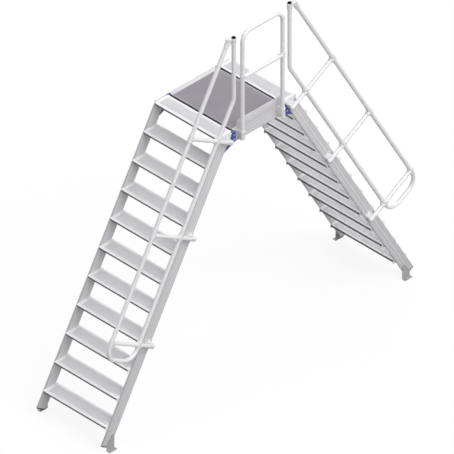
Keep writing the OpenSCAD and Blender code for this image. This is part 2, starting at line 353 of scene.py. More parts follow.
@dataclass(frozen=True)
class Finish:
    """A surface mixed from layers. The first one is also its relief.

    Attributes:
        name: The material's name.
        colour: Linear base colour.
        layers: Its patterns.
        shades: What the colour is multiplied by where the tone is 0 and where it is 1.
        roughness: The roughness that the layers add to.
        metallic: Share of metallic reflection.
        coat: Weight of a clear coat over it.
        specular: How strongly it reflects.
        relief: Depth of the relief.
        relief_felt: How far the relief is felt.
    """

    name: str
    colour: Triple
    layers: Tuple[Layer, ...] = ()
    shades: Pair = (0.9, 1.08)
    roughness: float = 0.4
    metallic: float = 0.0
    coat: float = 0.0
    specular: float = DULL_SPECULAR
    relief: float = 0.0002
    relief_felt: float = 0.25

    def fine_place(self, surface: Surface) -> Optional[NodeSocket]:
        """Coordinates of the first layer, or none where they are the plain ones."""
        return None

    def build(self) -> Material:
        """Makes the material.

        Returns:
            The material.
        """
        surface = Surface(self.name)
        first, *others = self.layers
        patterns = [first.on(surface, self.fine_place(surface))]
        patterns += [layer.on(surface) for layer in others]
        mixed = list(zip(self.layers, patterns))
        tone = sum(layer.tone * pattern for layer, pattern in mixed if layer.tone)
        rough = [layer.roughness * pattern for layer, pattern in mixed if layer.roughness]
        dark, light = (
            tuple(min(channel * factor, 1.0) for channel in self.colour) for factor in self.shades
        )
        return surface.close(
            "ShaderNodeBsdfPrincipled",
            {
                "Base Color": surface.blend(tone, dark, light),
                "Roughness": sum(rough, self.roughness),
                "Metallic": self.metallic,
                "Coat Weight": self.coat,
                "Specular IOR Level": self.specular,
                "Normal": surface.bump(patterns[0], self.relief, self.relief_felt),
            },
        )


@dataclass(frozen=True)
class Extruded(Finish):
    """Aluminium as it comes from the die, with fine lines along its length.

    Attributes:
        turn: Angle about Y from X to the way that the lines run.
        across: True where the lines run along Y.
        fineness: How much finer the pattern is along the lines and square to them.
    """

    layers: Tuple[Layer, ...] = (Layer(1.0, 3.0, 0.55, 0.2), Layer(7.0, 3.0, 0.45, 0.12))
    roughness: float = 0.36
    metallic: float = 0.12
    turn: float = 0.0
    across: bool = False
    fineness: Pair = (5.0, 620.0)

    def fine_place(self, surface: Surface) -> NodeSocket:
        """Coordinates that draw the first layer out into lines."""
        along, square = self.fineness
        return surface.placed(
            self.turn,
            Vector((square, along, square) if self.across else (along, square, square)),
        )


@dataclass(frozen=True)
class Anodised(Finish):
    """Satin anodised tube, almost white, with a faint cloudiness."""

    name: str = "anodised_tube"
    colour: Triple = (0.84, 0.84, 0.85)
    layers: Tuple[Layer, ...] = (Layer(1100.0, 1.0, 0.0, 0.08), Layer(14.0, 4.0, 1.0, 0.1))
    shades: Pair = (0.93, 1.06)
    roughness: float = 0.28
    metallic: float = 0.15
    relief: float = 0.0001


@dataclass(frozen=True)
class Cast(Finish):
    """Cast aluminium of the clamps, with the skin of the mould."""

    name: str = "cast_fitting"
    colour: Triple = (0.82, 0.82, 0.83)
    layers: Tuple[Layer, ...] = (Layer(420.0, 3.0, 0.0, 0.2), Layer(25.0, 3.0, 1.0, 0.0))
    metallic: float = 0.12
    relief: float = 0.0006
    relief_felt: float = 0.4


@dataclass(frozen=True)
class Gritted(Finish):
    """The deck's dull grey grip coat, with grit in it."""

    name: str = "grip_deck"
    colour: Triple = (0.42, 0.4, 0.435)
    layers: Tuple[Layer, ...] = (Layer(650.0, 2.0, 0.5, 0.25), Layer(6.0, 4.0, 0.5, 0.0))
    shades: Pair = (0.84, 1.14)
    roughness: float = 0.55
    metallic: float = 0.1
    relief: float = 0.0003
    relief_felt: float = 0.3


@dataclass(frozen=True)
class Moulded(Finish):
    """Moulded plastic with a fine even grain."""

    layers: Tuple[Layer, ...] = (Layer(900.0, 2.0, 0.0, 0.16), Layer(30.0, 2.0, 1.0, 0.0))
    shades: Pair = (0.88, 1.12)
    relief: float = 0.0003
    relief_felt: float = 0.4


@dataclass(frozen=True)
class Painted(Moulded):
    """The connectors' glossy paint, with a coarser grain under a clear coat."""

    name: str = "blue_coating"
    colour: Triple = (0.055, 0.07, 0.3)
    layers: Tuple[Layer, ...] = (Layer(260.0, 2.0, 0.0, 0.16), Layer(30.0, 2.0, 1.0, 0.0))
    roughness: float = 0.35
    coat: float = 0.3
    relief: float = 0.0005


@dataclass(frozen=True)
class Galvanised(Finish):
    """Zinc-coated angle of the feet, with its spangle."""

    name: str = "galvanised_foot"
    colour: Triple = (0.37, 0.37, 0.375)
    layers: Tuple[Layer, ...] = (Layer(160.0, None, 0.5, 0.2), Layer(35.0, 4.0, 0.5, 0.1))
    shades: Pair = (0.88, 1.12)
    roughness: float = 0.38
    metallic: float = 0.2
    relief_felt: float = 0.2


@dataclass(frozen=True)
class Turned(Finish):
    """Plain steel of screws and rivets, marked by the tool."""

    name: str = "fastener_steel"
    colour: Triple = (0.55, 0.55, 0.56)
    layers: Tuple[Layer, ...] = (Layer(1500.0, 2.0, 1.0, 0.16),)
    shades: Pair = (0.85, 1.1)
    roughness: float = 0.24
    metallic: float = 0.85
    relief: float = 0.0001
    relief_felt: float = 0.3


class Finishes:
    """All the finishes of the platform, each made once."""

    def __init__(self, slopes: Sequence["Slope"]) -> None:
        """Makes the materials.

        Args:
            slopes: Slopes of the flights.
        """
        section = (0.69, 0.675, 0.702)
        self.stile = {
            slope.side: Extruded(
                f"{slope.side.flight}_stile_section", section, turn=slope.side.value * slope.pitch
            ).build()
            for slope in slopes
        }
        self.beam = Extruded("beam_section", section).build()
        # A darker grey painted into the stiles' grooves, as painted shade.
        self.groove = Extruded("section_groove", (0.46, 0.452, 0.468)).build()
        self.toe_board = Extruded("toe_board_sheet", (0.7, 0.685, 0.71)).build()
        self.tread = Extruded("tread_section", (0.87, 0.862, 0.882), across=True).build()
        # The lips' dark grey is painted shade on the treads' front and back faces.
        self.lip = Extruded("lip_edge", (0.17, 0.17, 0.175), across=True).build()
        # Near-black painted on the deck frame's ends, as a painted shadow of the gap beside the top
        # treads.
        self.shadow = Extruded("frame_end", (0.07, 0.07, 0.072), across=True).build()
        self.frame = Extruded("frame_angle", (0.7, 0.69, 0.71)).build()
        self.trim = Extruded("bright_angle", (0.91, 0.91, 0.91), metallic=0.05).build()
        self.tube = Anodised().build()
        self.fitting = Cast().build()
        self.deck = Gritted().build()
        dark_plastic = Moulded("black_cap", (0.006, 0.006, 0.007), roughness=0.6, specular=0.06)
        self.cap = dark_plastic.build()
        self.plug = Moulded("grey_plug", (0.4, 0.4, 0.41), roughness=0.5).build()
        self.connector = Painted().build()
        self.foot = Galvanised().build()
        self.fastener = Turned().build()


# ---- Meshes ----


@dataclass(frozen=True)
class Ring:
    """A ring of a turned shape.

    Attributes:
        radius: Its radius, or half the width across flats of a hexagon.
        height: Its place along the axis.
        hexagonal: True for a hexagon.
    """

    radius: float
    height: float
    hexagonal: bool = False

    def reach(self, angle: float) -> float:
        """Distance from the axis to the ring at an angle."""
        from_flat = angle % (math.pi / 3) - math.pi / 6
        return self.radius / math.cos(from_flat) if self.hexagonal else self.radius


class Shape:
    """A closed mesh under construction, of one or more shells."""

    def __init__(self) -> None:
        """Starts with nothing."""
        self.bm = bmesh.new()

    def add_prism(
        self, outline: Sequence[Vector], along: Vector, tone: int = 0,
        other_tones: Optional[Mapping[int, int]] = None,
    ) -> None:
        """Adds a prism.

        Args:
            outline: Corners of one end, in order.
            along: The way from that end to the other.
            tone: Number of the shell's material.
            other_tones: Sides that have another material, by the number of their first corner.
        """
        near = [self.bm.verts.new(corner) for corner in outline]
        far = [self.bm.verts.new(corner + along) for corner in outline]
        for end in (near, far[::-1]):
            self.bm.faces.new(end).material_index = tone
        for i in range(len(near)):
            j = (i + 1) % len(near)
            side = self.bm.faces.new((near[j], near[i], far[i], far[j]))
            side.material_index = (other_tones or {}).get(i, tone)

    def add_box(self, centre: Vector, size: Vector, turn: Optional[Matrix] = None) -> None:
        """Adds a box.

        Args:
            centre: Its middle.
            size: Its three sides.
            turn: How it is turned about its middle, if it is.
        """
        half = size / 2
        signs = ((-1, -1), (1, -1), (1, 1), (-1, 1))
        corners = [Vector((a * half.x, b * half.y, -half.z)) for a, b in signs]
        along = UP * size.z
        if turn is not None:
            corners = [turn @ corner for corner in corners]
            along = turn @ along
        self.add_prism([centre + corner for corner in corners], along)

    def add_turned(
        self, rings: Sequence[Ring], place: Matrix, segments: int = 24, hollow: bool = False
    ) -> None:
        """Adds a turned shape.

        Args:
            rings: Its outline, from one end to the other; a radius of 0 is a point.
            place: Where its axis goes: the shape is made along Z.
            segments: Corners round the axis.
            hollow: True where the last ring joins the first, as on a sleeve.
        """
        rows = [self._ring(ring, place, segments) for ring in rings]
        pairs = list(zip(rows, rows[1:])) + ([(rows[-1], rows[0])] if hollow else [])
        for low, high in pairs:
            for i in range(segments):
                j = (i + 1) % segments
                corners = (low[i], low[j], high[j], high[i])
                unlike = [c for k, c in enumerate(corners) if c not in corners[:k]]
                self.bm.faces.new(unlike)

    def _ring(self, ring: Ring, place: Matrix, segments: int) -> List[BMVert]:
        """Adds the corners of one ring.

        Args:
            ring: The ring.
            place: Where its axis goes.
            segments: Corners round the axis.

        Returns:
            The corners in order, or one point many times over.
        """
        if ring.radius == 0:
            return [self.bm.verts.new(place @ Vector((0, 0, ring.height)))] * segments
        corners = []
        for i in range(segments):
            angle = math.tau * i / segments
            reach = ring.reach(angle)
            spot = Vector((reach * math.cos(angle), reach * math.sin(angle), ring.height))
            corners.append(self.bm.verts.new(place @ spot))
        return corners

    def soften(self, width: float) -> None:
        """Rounds the sharp edges, as far as the width."""
        sharp = [e for e in self.bm.edges if e.is_manifold and e.calc_face_angle() > SMOOTH_ANGLE]
        bmesh.ops.bevel(
            self.bm, geom=sharp, offset=width, segments=2, profile=0.5, affect="EDGES",
            clamp_overlap=True,
        )

    def finished(self, name: str) -> Mesh:
        """Turns the shape into a mesh with its faces outward and its sharp edges marked.

        Args:
            name: The mesh's name.

        Returns:
            The mesh.
        """
        bmesh.ops.recalc_face_normals(self.bm, faces=self.bm.faces)
        for edge in self.bm.edges:
            edge.smooth = not edge.is_manifold or edge.calc_face_angle() < SMOOTH_ANGLE
        for face in self.bm.faces:
            face.smooth = True
        mesh = bpy.data.meshes.new(name)
        self.bm.to_mesh(mesh)
        self.bm.free()
        if "custom_normal" in mesh.attributes:
            mesh.attributes.remove(mesh.attributes["custom_normal"])
        return mesh


def merged(node: str) -> BMesh:
    """Copies a node's mesh and merges its corners.

    Args:
        node: The node's name.

    Returns:
        The copy.
    """
    bm = bmesh.new()
    bm.from_mesh(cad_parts[node].data)
    bmesh.ops.remove_doubles(bm, verts=bm.verts, dist=MERGE_DISTANCE)
    return bm


class CadCopy(Shape):
    """A copy of a node's mesh, merged and with its flat faces whole."""

    def __init__(self, node: str) -> None:
        """Copies a node of a name."""
        self.bm = merged(node)
        bmesh.ops.dissolve_limit(
            self.bm, angle_limit=FLAT_ANGLE, verts=self.bm.verts, edges=self.bm.edges
        )

    def mark_ends(self) -> None:
        """Gives the outermost faces along X, at both ends, the second material."""
        # On the deck frame, the second material is a near-black painted shadow.
        reach = max(abs(vert.co.x) for vert in self.bm.verts)
        for face in self.bm.faces:
            outermost = abs(abs(face.calc_center_median().x) - reach) < MERGE_DISTANCE
            if outermost and abs(face.normal.x) > SQUARE_ON:
                face.material_index = SECOND

    def mark_grooves(self) -> None:
        """Gives the floors of the grooves in faces square to Y the second material."""
        # The second material is a darker grey that paints shade in the grooves.
        for sign in (-1, 1):
            faces = [face for face in self.bm.faces if face.normal.y * sign > SQUARE_ON]
            level = max(face.calc_center_median().y * sign for face in faces)
            for face in faces:
                sunk = level - face.calc_center_median().y * sign
                if MERGE_DISTANCE < sunk < GROOVE_DEPTH_LIMIT:
                    face.material_index = SECOND

    def score(self, point: Vector, across: Vector, inward: Vector, width: float) -> None:
        """Cuts a V groove along the whole of a flat face, with its walls in the second material.

        Args:
            point: A point of the face, on the groove's middle line.
            across: The way across the groove, in the face.
            inward: The way into the face.
            width: Its width, which is twice its depth.
        """
        level = point.dot(inward)
        for share in (-0.5, 0.5, 0.0):
            cut = bmesh.ops.bisect_plane(
                self.bm,
                geom=[*self.bm.verts, *self.bm.edges, *self.bm.faces],
                plane_co=point + across * (share * width),
                plane_no=across,
            )
        middle = [
            item
            for item in cut["geom_cut"]
            if isinstance(item, BMVert)
            and abs(item.co.dot(inward) - level) < MERGE_DISTANCE
        ]
        # The walls take the second material, a darker grey that paints shade in the groove.
        for vert in middle:
            for face in vert.link_faces:
                if face.normal.dot(inward) < -SQUARE_ON:
                    face.material_index = SECOND
        for vert in middle:
            vert.co += inward * (width / 2)


def added(name: str, data: ID) -> Object:
    """Adds an object to the scene.

    Args:
        name: Its name.
        data: Its mesh, lamp or camera.

    Returns:
        The object.
    """
    item = bpy.data.objects.new(name, data)
    bpy.context.scene.collection.objects.link(item)
    return item


def show(
    name: str, mesh: Mesh, materials: Sequence[Material] = (),
    stands_for: Sequence[str] = (),
) -> None:
    """Puts a finished mesh on the platform.

    Args:
        name: The piece's name.
        mesh: Its mesh, in place.
        materials: Its materials, or none if the mesh has them already.
        stands_for: The nodes that it is shown instead of.
    """
    for material in materials:
        mesh.materials.append(material)
    mesh.name = name
    piece = added(name, mesh)
    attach(piece, BODY)
    if stands_for:
        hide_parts(*stands_for)
    LOG.info("%s: %d triangles", name, sum(len(face.vertices) - 2 for face in mesh.polygons))


def dress(nodes: Iterable[str], material: Material) -> None:
    """Gives nodes that keep their own shape a finish.

    Args:
        nodes: Their names.
        material: The finish.
    """
    for node in nodes:
        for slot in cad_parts[node].material_slots:
            slot.material = material
        LOG.info("%s: keeps its shape, in %s", node, material.name)


def show_softened(node: str, width: float, slot: str, *materials: Material) -> None:
    """Shows a node with its edges slightly rounded.

    Args:
        node: Its name.
        width: How far the rounding reaches.
        slot: Not used.
        materials: Its finish, then that of its two ends along X, if they have their own.
    """
    copy = CadCopy(node)
    if len(materials) > 1:
        copy.mark_ends()
    copy.soften(width)
    show(f"{node}_finished", copy.finished(node), materials, [node])


@dataclass(frozen=True)
class Island(Box):
    """One solid of a node: the box round it, and its corners."""

    corners: Tuple[Vector, ...] = ()


def islands(node: str) -> List[Island]:
    """Finds the separate solids of a node.

    Args:
        node: Its name.

    Returns:
        The solids, from the lowest X up.
    """
    bm = merged(node)
    left, found = set(bm.verts), []
    while left:
        reached, edge = [], [left.pop()]
        while edge:
            vert = edge.pop()
            reached.append(vert.co.copy())
            near = {e.other_vert(vert) for e in vert.link_edges} & left
            left -= near
            edge.extend(near)
        low, high = (Vector(map(pick, zip(*reached))) for pick in (min, max))
        found.append(Island(low, high, tuple(reached)))
    bm.free()
    return sorted(found, key=lambda island: island.centre.x)


# ---- Geometry nodes ----


@dataclass(frozen=True)
class Spot:
    """A place for a repeated piece, and the way that its axis points."""

    point: Vector
    facing: Vector = UP


class Recipe(Graph):
    """A geometry node tree with named inputs that is run on a list of spots."""

    def __init__(self, name: str, inputs: Mapping[str, str]) -> None:
        """Makes the tree.

        Args:
            name: The tree's name.
            inputs: The kind of each named input, besides the spots and the material.
        """
        super().__init__(bpy.data.node_groups.new(name, "GeometryNodeTree"))
        kinds = {"Spots": "Geometry", **inputs, "Material": "Material", "Pieces": "Geometry"}
        for title, kind in kinds.items():
            self.tree.interface.new_socket(
                name=title,
                in_out="OUTPUT" if title == "Pieces" else "INPUT",
                socket_type=f"NodeSocket{kind}",
            )
        self.inputs = self.node("NodeGroupInput").outputs
        instances = self.at(self.inputs["Spots"], self.pattern(), turned=True)
        whole = self.node("GeometryNodeRealizeInstances", inputs={"Geometry": instances})
        finish = self.node(
            "GeometryNodeSetMaterial",
            inputs={"Geometry": whole.outputs[0], "Material": self.inputs["Material"]},
        )
        self.node("NodeGroupOutput", inputs={0: finish.outputs[0]})

    def pattern(self) -> NodeSocket:
        """Adds the nodes of what goes on each spot, and returns their result."""
        raise NotImplementedError

    def at(
        self, points: NodeSocket, instance: NodeSocket, turned: bool = False
    ) -> NodeSocket:
        """Puts an instance on each point.

        Args:
            points: The points.
            instance: The instance.
            turned: True to lay its Z axis along the way that a spot faces.

        Returns:
            The instances' socket.
        """
        inputs = {"Points": points, "Instance": instance}
        if turned:
            facing = self.node(
                "GeometryNodeInputNamedAttribute", {"data_type": "FLOAT_VECTOR"}, {"Name": "facing"}
            )
            vector = next(s for s in facing.outputs if s.enabled and s.name == "Attribute")
            turn = self.node("FunctionNodeAlignRotationToVector", {"axis": "Z"}, {"Vector": vector})
            inputs["Rotation"] = turn.outputs[0]
        return self.node("GeometryNodeInstanceOnPoints", inputs=inputs).outputs[0]

    def run(
        self, name: str, slot: str, spots: Sequence[Spot], material: Material,
        values: Mapping[str, object], stands_for: Sequence[str] = (),
    ) -> None:
        """Runs the tree, keeps the result as a plain mesh and shows it.

        Args:
            name: The piece's name.
            slot: Not used.
            spots: Where the pattern goes.
            material: Its finish.
            values: The named inputs' values.
            stands_for: The nodes that it is shown instead of.
        """
        seed = bpy.data.meshes.new(f"{name}_spots")
        seed.from_pydata([spot.point for spot in spots], [], [])
        facing = seed.attributes.new("facing", "FLOAT_VECTOR", "POINT")
        for item, spot in zip(facing.data, spots):
            item.vector = spot.facing
        carrier = added(f"{name}_spots", seed)
        modifier = carrier.modifiers.new(self.tree.name, "NODES")
        modifier.node_group = self.tree
        wanted = {"Material": material, **values}
        for item in self.tree.interface.items_tree:
            if item.in_out == "INPUT" and item.name in wanted:
                modifier[item.identifier] = wanted[item.name]
        ready = carrier.evaluated_get(bpy.context.evaluated_depsgraph_get())
        mesh = bpy.data.meshes.new_from_object(ready)
        bpy.data.objects.remove(carrier)
        bpy.data.meshes.remove(seed)
        for attribute in [a for a in mesh.attributes if a.name == "facing"]:
            mesh.attributes.remove(attribute)
        show(name, mesh, (), stands_for)


class Scatter(Recipe):
    """Puts one pattern mesh on every spot: screws, rivets, sleeves and plugs."""

    def __init__(self) -> None:
        """Makes the tree."""
        super().__init__("scatter", {"Pattern": "Object"})

    def pattern(self) -> NodeSocket:
        """Adds the node that reads the pattern mesh, and returns the mesh."""
        settings, inputs = {"transform_space": "ORIGINAL"}, {"Object": self.inputs["Pattern"]}
        return self.node("GeometryNodeObjectInfo", settings, inputs).outputs["Geometry"]

    def lay(
        self, name: str, slot: str, pattern: Mesh, spots: Sequence[Spot], material: Material,
        stands_for: Sequence[str] = (),
    ) -> None:
        """Shows a mesh on every spot, as one piece.

        Args:
            name: The piece's name.
            slot: Not used.
            pattern: The mesh to repeat, made along Z.
            spots: Where it goes.
            material: Its finish.
            stands_for: The nodes that it is shown instead of.
        """
        source = added(f"{name}_pattern", pattern)
        self.run(name, slot, spots, material, {"Pattern": source}, stands_for)
        bpy.data.objects.remove(source)


@dataclass(frozen=True)
class RibForm:
    """The form of the ribs on a board, which stand side by side along X.

    Attributes:
        pitch: Distance from one to the next.
        base_width: Width at the foot.
        crest_width: Width at the top.
        height: Height.
    """

    pitch: float
    base_width: float
    crest_width: float
    height: float

    def fitted(self, stretch: float) -> Tuple[int, float]:
        """How many ribs have room, and how far from the room's end the first one's middle is."""
        count = int(stretch / self.pitch)
        return count, (stretch - (count - 1) * self.pitch) / 2


class Ribbing(Recipe):
    """Lays a row of long ribs of tapered section on every spot, side by side along X."""

    def __init__(self) -> None:
        """Makes the tree."""
        sizes = ("Pitch", "Length", "Base Width", "Crest Width", "Height")
        super().__init__("ribbing", {"Count": "Int", **{size: "Float" for size in sizes}})

    def pattern(self) -> NodeSocket:
        """Adds the nodes of a row: a trapezoid swept along Y, repeated along X.

        Returns:
            The row.
        """
        sizes = self.inputs
        length = Signal(self, sizes["Length"])
        start, end = (
            self.node("ShaderNodeCombineXYZ", inputs={"Y": length * share}).outputs[0]
            for share in (0.5, -0.5)
        )
        spine = self.node("GeometryNodeCurvePrimitiveLine", inputs={"Start": start, "End": end})
        trapezoid = {
            "Height": sizes["Height"], "Bottom Width": sizes["Base Width"],
            "Top Width": sizes["Crest Width"], "Offset": 0.0,
        }
        section = self.node(
            "GeometryNodeCurvePrimitiveQuadrilateral", {"mode": "TRAPEZOID"}, trapezoid
        )
        swept = {"Curve": spine.outputs[0], "Profile Curve": section.outputs[0], "Fill Caps": True}
        rib = self.node("GeometryNodeCurveToMesh", inputs=swept)
        step = self.node("ShaderNodeCombineXYZ", inputs={"X": sizes["Pitch"]})
        line = {"Count": sizes["Count"], "Offset": step.outputs[0]}
        row = self.node("GeometryNodeMeshLine", inputs=line)
        return self.at(row.outputs[0], rib.outputs[0])

    def lay(
        self, name: str, slot: str, form: RibForm, count: int, length: float,
        points: Sequence[Vector], material: Material,
    ) -> None:
        """Shows a row of ribs at every point, as one piece.

        Args:
            name: The piece's name.
            slot: Not used.
            form: The ribs' form.
            count: Ribs in a row.
            length: Their length.
            points: The middle of each row's first rib.
            material: Their finish.
        """
        sizes = {key.replace("_", " ").title(): size for key, size in asdict(form).items()}
        spots = [Spot(point) for point in points]
        self.run(name, slot, spots, material, {"Count": count, "Length": length, **sizes})


class Serration(Recipe):
    """Lays rows of small pyramids on every spot, in a grid along X and Y."""

    def __init__(self) -> None:
        """Makes the tree."""
        counts, sizes = ("Rows", "Teeth"), ("Band", "Length", "Tooth", "Height")
        kinds = {**{name: "Int" for name in counts}, **{name: "Float" for name in sizes}}
        super().__init__("serration", kinds)

    def pattern(self) -> NodeSocket:
        """Adds the nodes of a band: a four-sided cone on each corner of a grid.

        Returns:
            The band.
        """
        sizes = self.inputs
        grid = {
            "Size X": sizes["Band"], "Size Y": sizes["Length"],
            "Vertices X": sizes["Rows"], "Vertices Y": sizes["Teeth"],
        }
        cone = {
            "Vertices": 4, "Radius Top": 0.0,
            "Radius Bottom": sizes["Tooth"], "Depth": sizes["Height"],
        }
        corners = self.node("GeometryNodeMeshGrid", inputs=grid).outputs[0]
        return self.at(corners, self.node("GeometryNodeMeshCone", inputs=cone).outputs["Mesh"])


# ---- Small hardware ----


def turned(
    name: str, *outline: Tuple[float, ...], segments: int = 24, hollow: bool = False
) -> Mesh:
    """Makes a turned pattern, along Z.

    Args:
        name: Its name.
        outline: Radius and height of its rings, and True after them for a hexagon.
        segments: Corners round the axis.
        hollow: True where the last ring joins the first.

    Returns:
        Its mesh.
    """
    shape = Shape()
    shape.add_turned([Ring(*ring) for ring in outline], Matrix.Identity(4), segments, hollow)
    return shape.finished(name)


def rivet(radius: float, height: float) -> Mesh:
    """A domed rivet head on a surface at height 0."""
    dome = [(radius * wide, height * high) for wide, high in RIVET_DOME]
    return turned("rivet", (0, -height / 4), (radius, -height / 4), *dome, (0, height), segments=12)


def hex_bolt(half: float, height: float, washer: float = 0.0016) -> Mesh:
    """A hexagon head, given half its width, on a washer, on a surface at height 0."""
    return turned(
        "hex_bolt", (0, -washer / 2), (half * 1.25, -washer / 2), (half * 1.25, washer * 0.7),
        (half * 1.18, washer), (half, washer, True), (half, height * 0.85, True),
        (half * 0.93, height), (0, height),
    )


def set_screw(radius: float, height: float) -> Mesh:
    """A round boss with the hexagon socket of a set screw in it, on a surface at height 0."""
    return turned(
        "set_screw", (0, -height), (radius, -height), (radius, height * 0.7),
        (radius * 0.88, height), (radius * 0.66, height), (radius * 0.62, height * 0.75),
        (radius * 0.4, height * 0.75, True), (radius * 0.4, -height * 0.6, True),
        (0, -height * 0.6),
    )


def flush_screw(radius: float, proud: float = 0.0004) -> Mesh:
    """A countersunk screw with a hexagon socket, almost flush with a surface at height 0."""
    return turned(
        "flush_screw", (0, -proud), (radius, -proud), (radius, proud),
        (radius * 0.5, proud, True), (radius * 0.46, -proud / 2, True), (0, -proud / 2),
    )


def plug(radius: float) -> Mesh:
    """A plug with a rounded rim that closes a tube's end at height 0."""
    return turned(
        "plug", (0, -0.002), (radius, -0.002), (radius, 0.0015), (radius * 0.93, 0.003),
        (radius * 0.6, 0.0036), (0, 0.0038),
    )


@dataclass(frozen=True)
class SleeveForm:
    """A sleeve of a tube clamp, with a thicker rim at both ends.

    Attributes:
        bore: Radius of its bore.
        rim: Radius over its rims.
        waist: Radius between them.
        rim_width: Width of a rim.
        edge: Width of a rim's bevelled edges.
    """

    bore: float = 0.0203
    rim: float = 0.0263
    waist: float = 0.0246
    rim_width: float = 0.009
    edge: float = 0.0012

    def made(self, length: float) -> Mesh:
        """Makes a sleeve that runs up from height 0.

        Args:
            length: Its length.

        Returns:
            Its mesh.
        """
        half = [
            (self.rim - self.edge, 0.0), (self.rim, self.edge),
            (self.rim, self.rim_width - self.edge), (self.waist, self.rim_width + self.edge),
        ]
        other = [(radius, length - height) for radius, height in reversed(half)]
        outline = [(self.bore, 0.0), *half, *other, (self.bore, length)]
        return turned("sleeve", *outline, segments=28, hollow=True)


@dataclass(frozen=True)
class Kit:
    """What the sub-assemblies share: the finishes, and the tools that lay what repeats."""

    finishes: Finishes
    scatter: Scatter
    ribbing: Ribbing
    serration: Serration


# ---- The flights ----


@dataclass(frozen=True)
class Slope:
    """The line of a flight's nosings, with one way down it and one square to it.

    Attributes:
        side: The way that the flight leads.
        top: The top nosing, at the middle of the flight's width.
        pitch: The flight's slope, in radians.
    """

    side: Side
    top: Vector
    pitch: float

    @classmethod
    def of(cls, side: Side) -> "Slope":
        """Reads the slope of a flight from its treads in the model.

        Args:
            side: The way that the flight leads.

        Returns:
            The slope.
        """
        bottom, *_, top = side.front_edges
        return cls(side, top, math.atan2(top.z - bottom.z, abs(bottom.x - top.x)))

    @property
    def down(self) -> Vector:
        """The way down the slope."""
        return Vector((self.side.value * math.cos(self.pitch), 0.0, -math.sin(self.pitch)))

    @property
    def out(self) -> Vector:
        """The way square to the slope, upward."""
        return Vector((self.side.value * math.sin(self.pitch), 0.0, math.cos(self.pitch)))

    def point(self, down: float, out: float, y: float) -> Vector:
        """A point given down the slope, square to it and across.

        Args:
            down: Distance down from the top nosing.
            out: Distance above the line of the nosings.
            y: Its Y.

        Returns:
            The point.
        """
        spot = self.top + self.down * down + self.out * out
        return Vector((spot.x, y, spot.z))

    def measured(self, point: Vector) -> Pair:
        """How far down the slope a point is, and how far square to it."""
        way = point - self.top
        return way.dot(self.down), way.dot(self.out)


def spread(start: float, end: float, count: int) -> List[float]:
    """The middles of the equal parts of a stretch."""
    return [start + (end - start) * (i + 0.5) / count for i in range(count)]


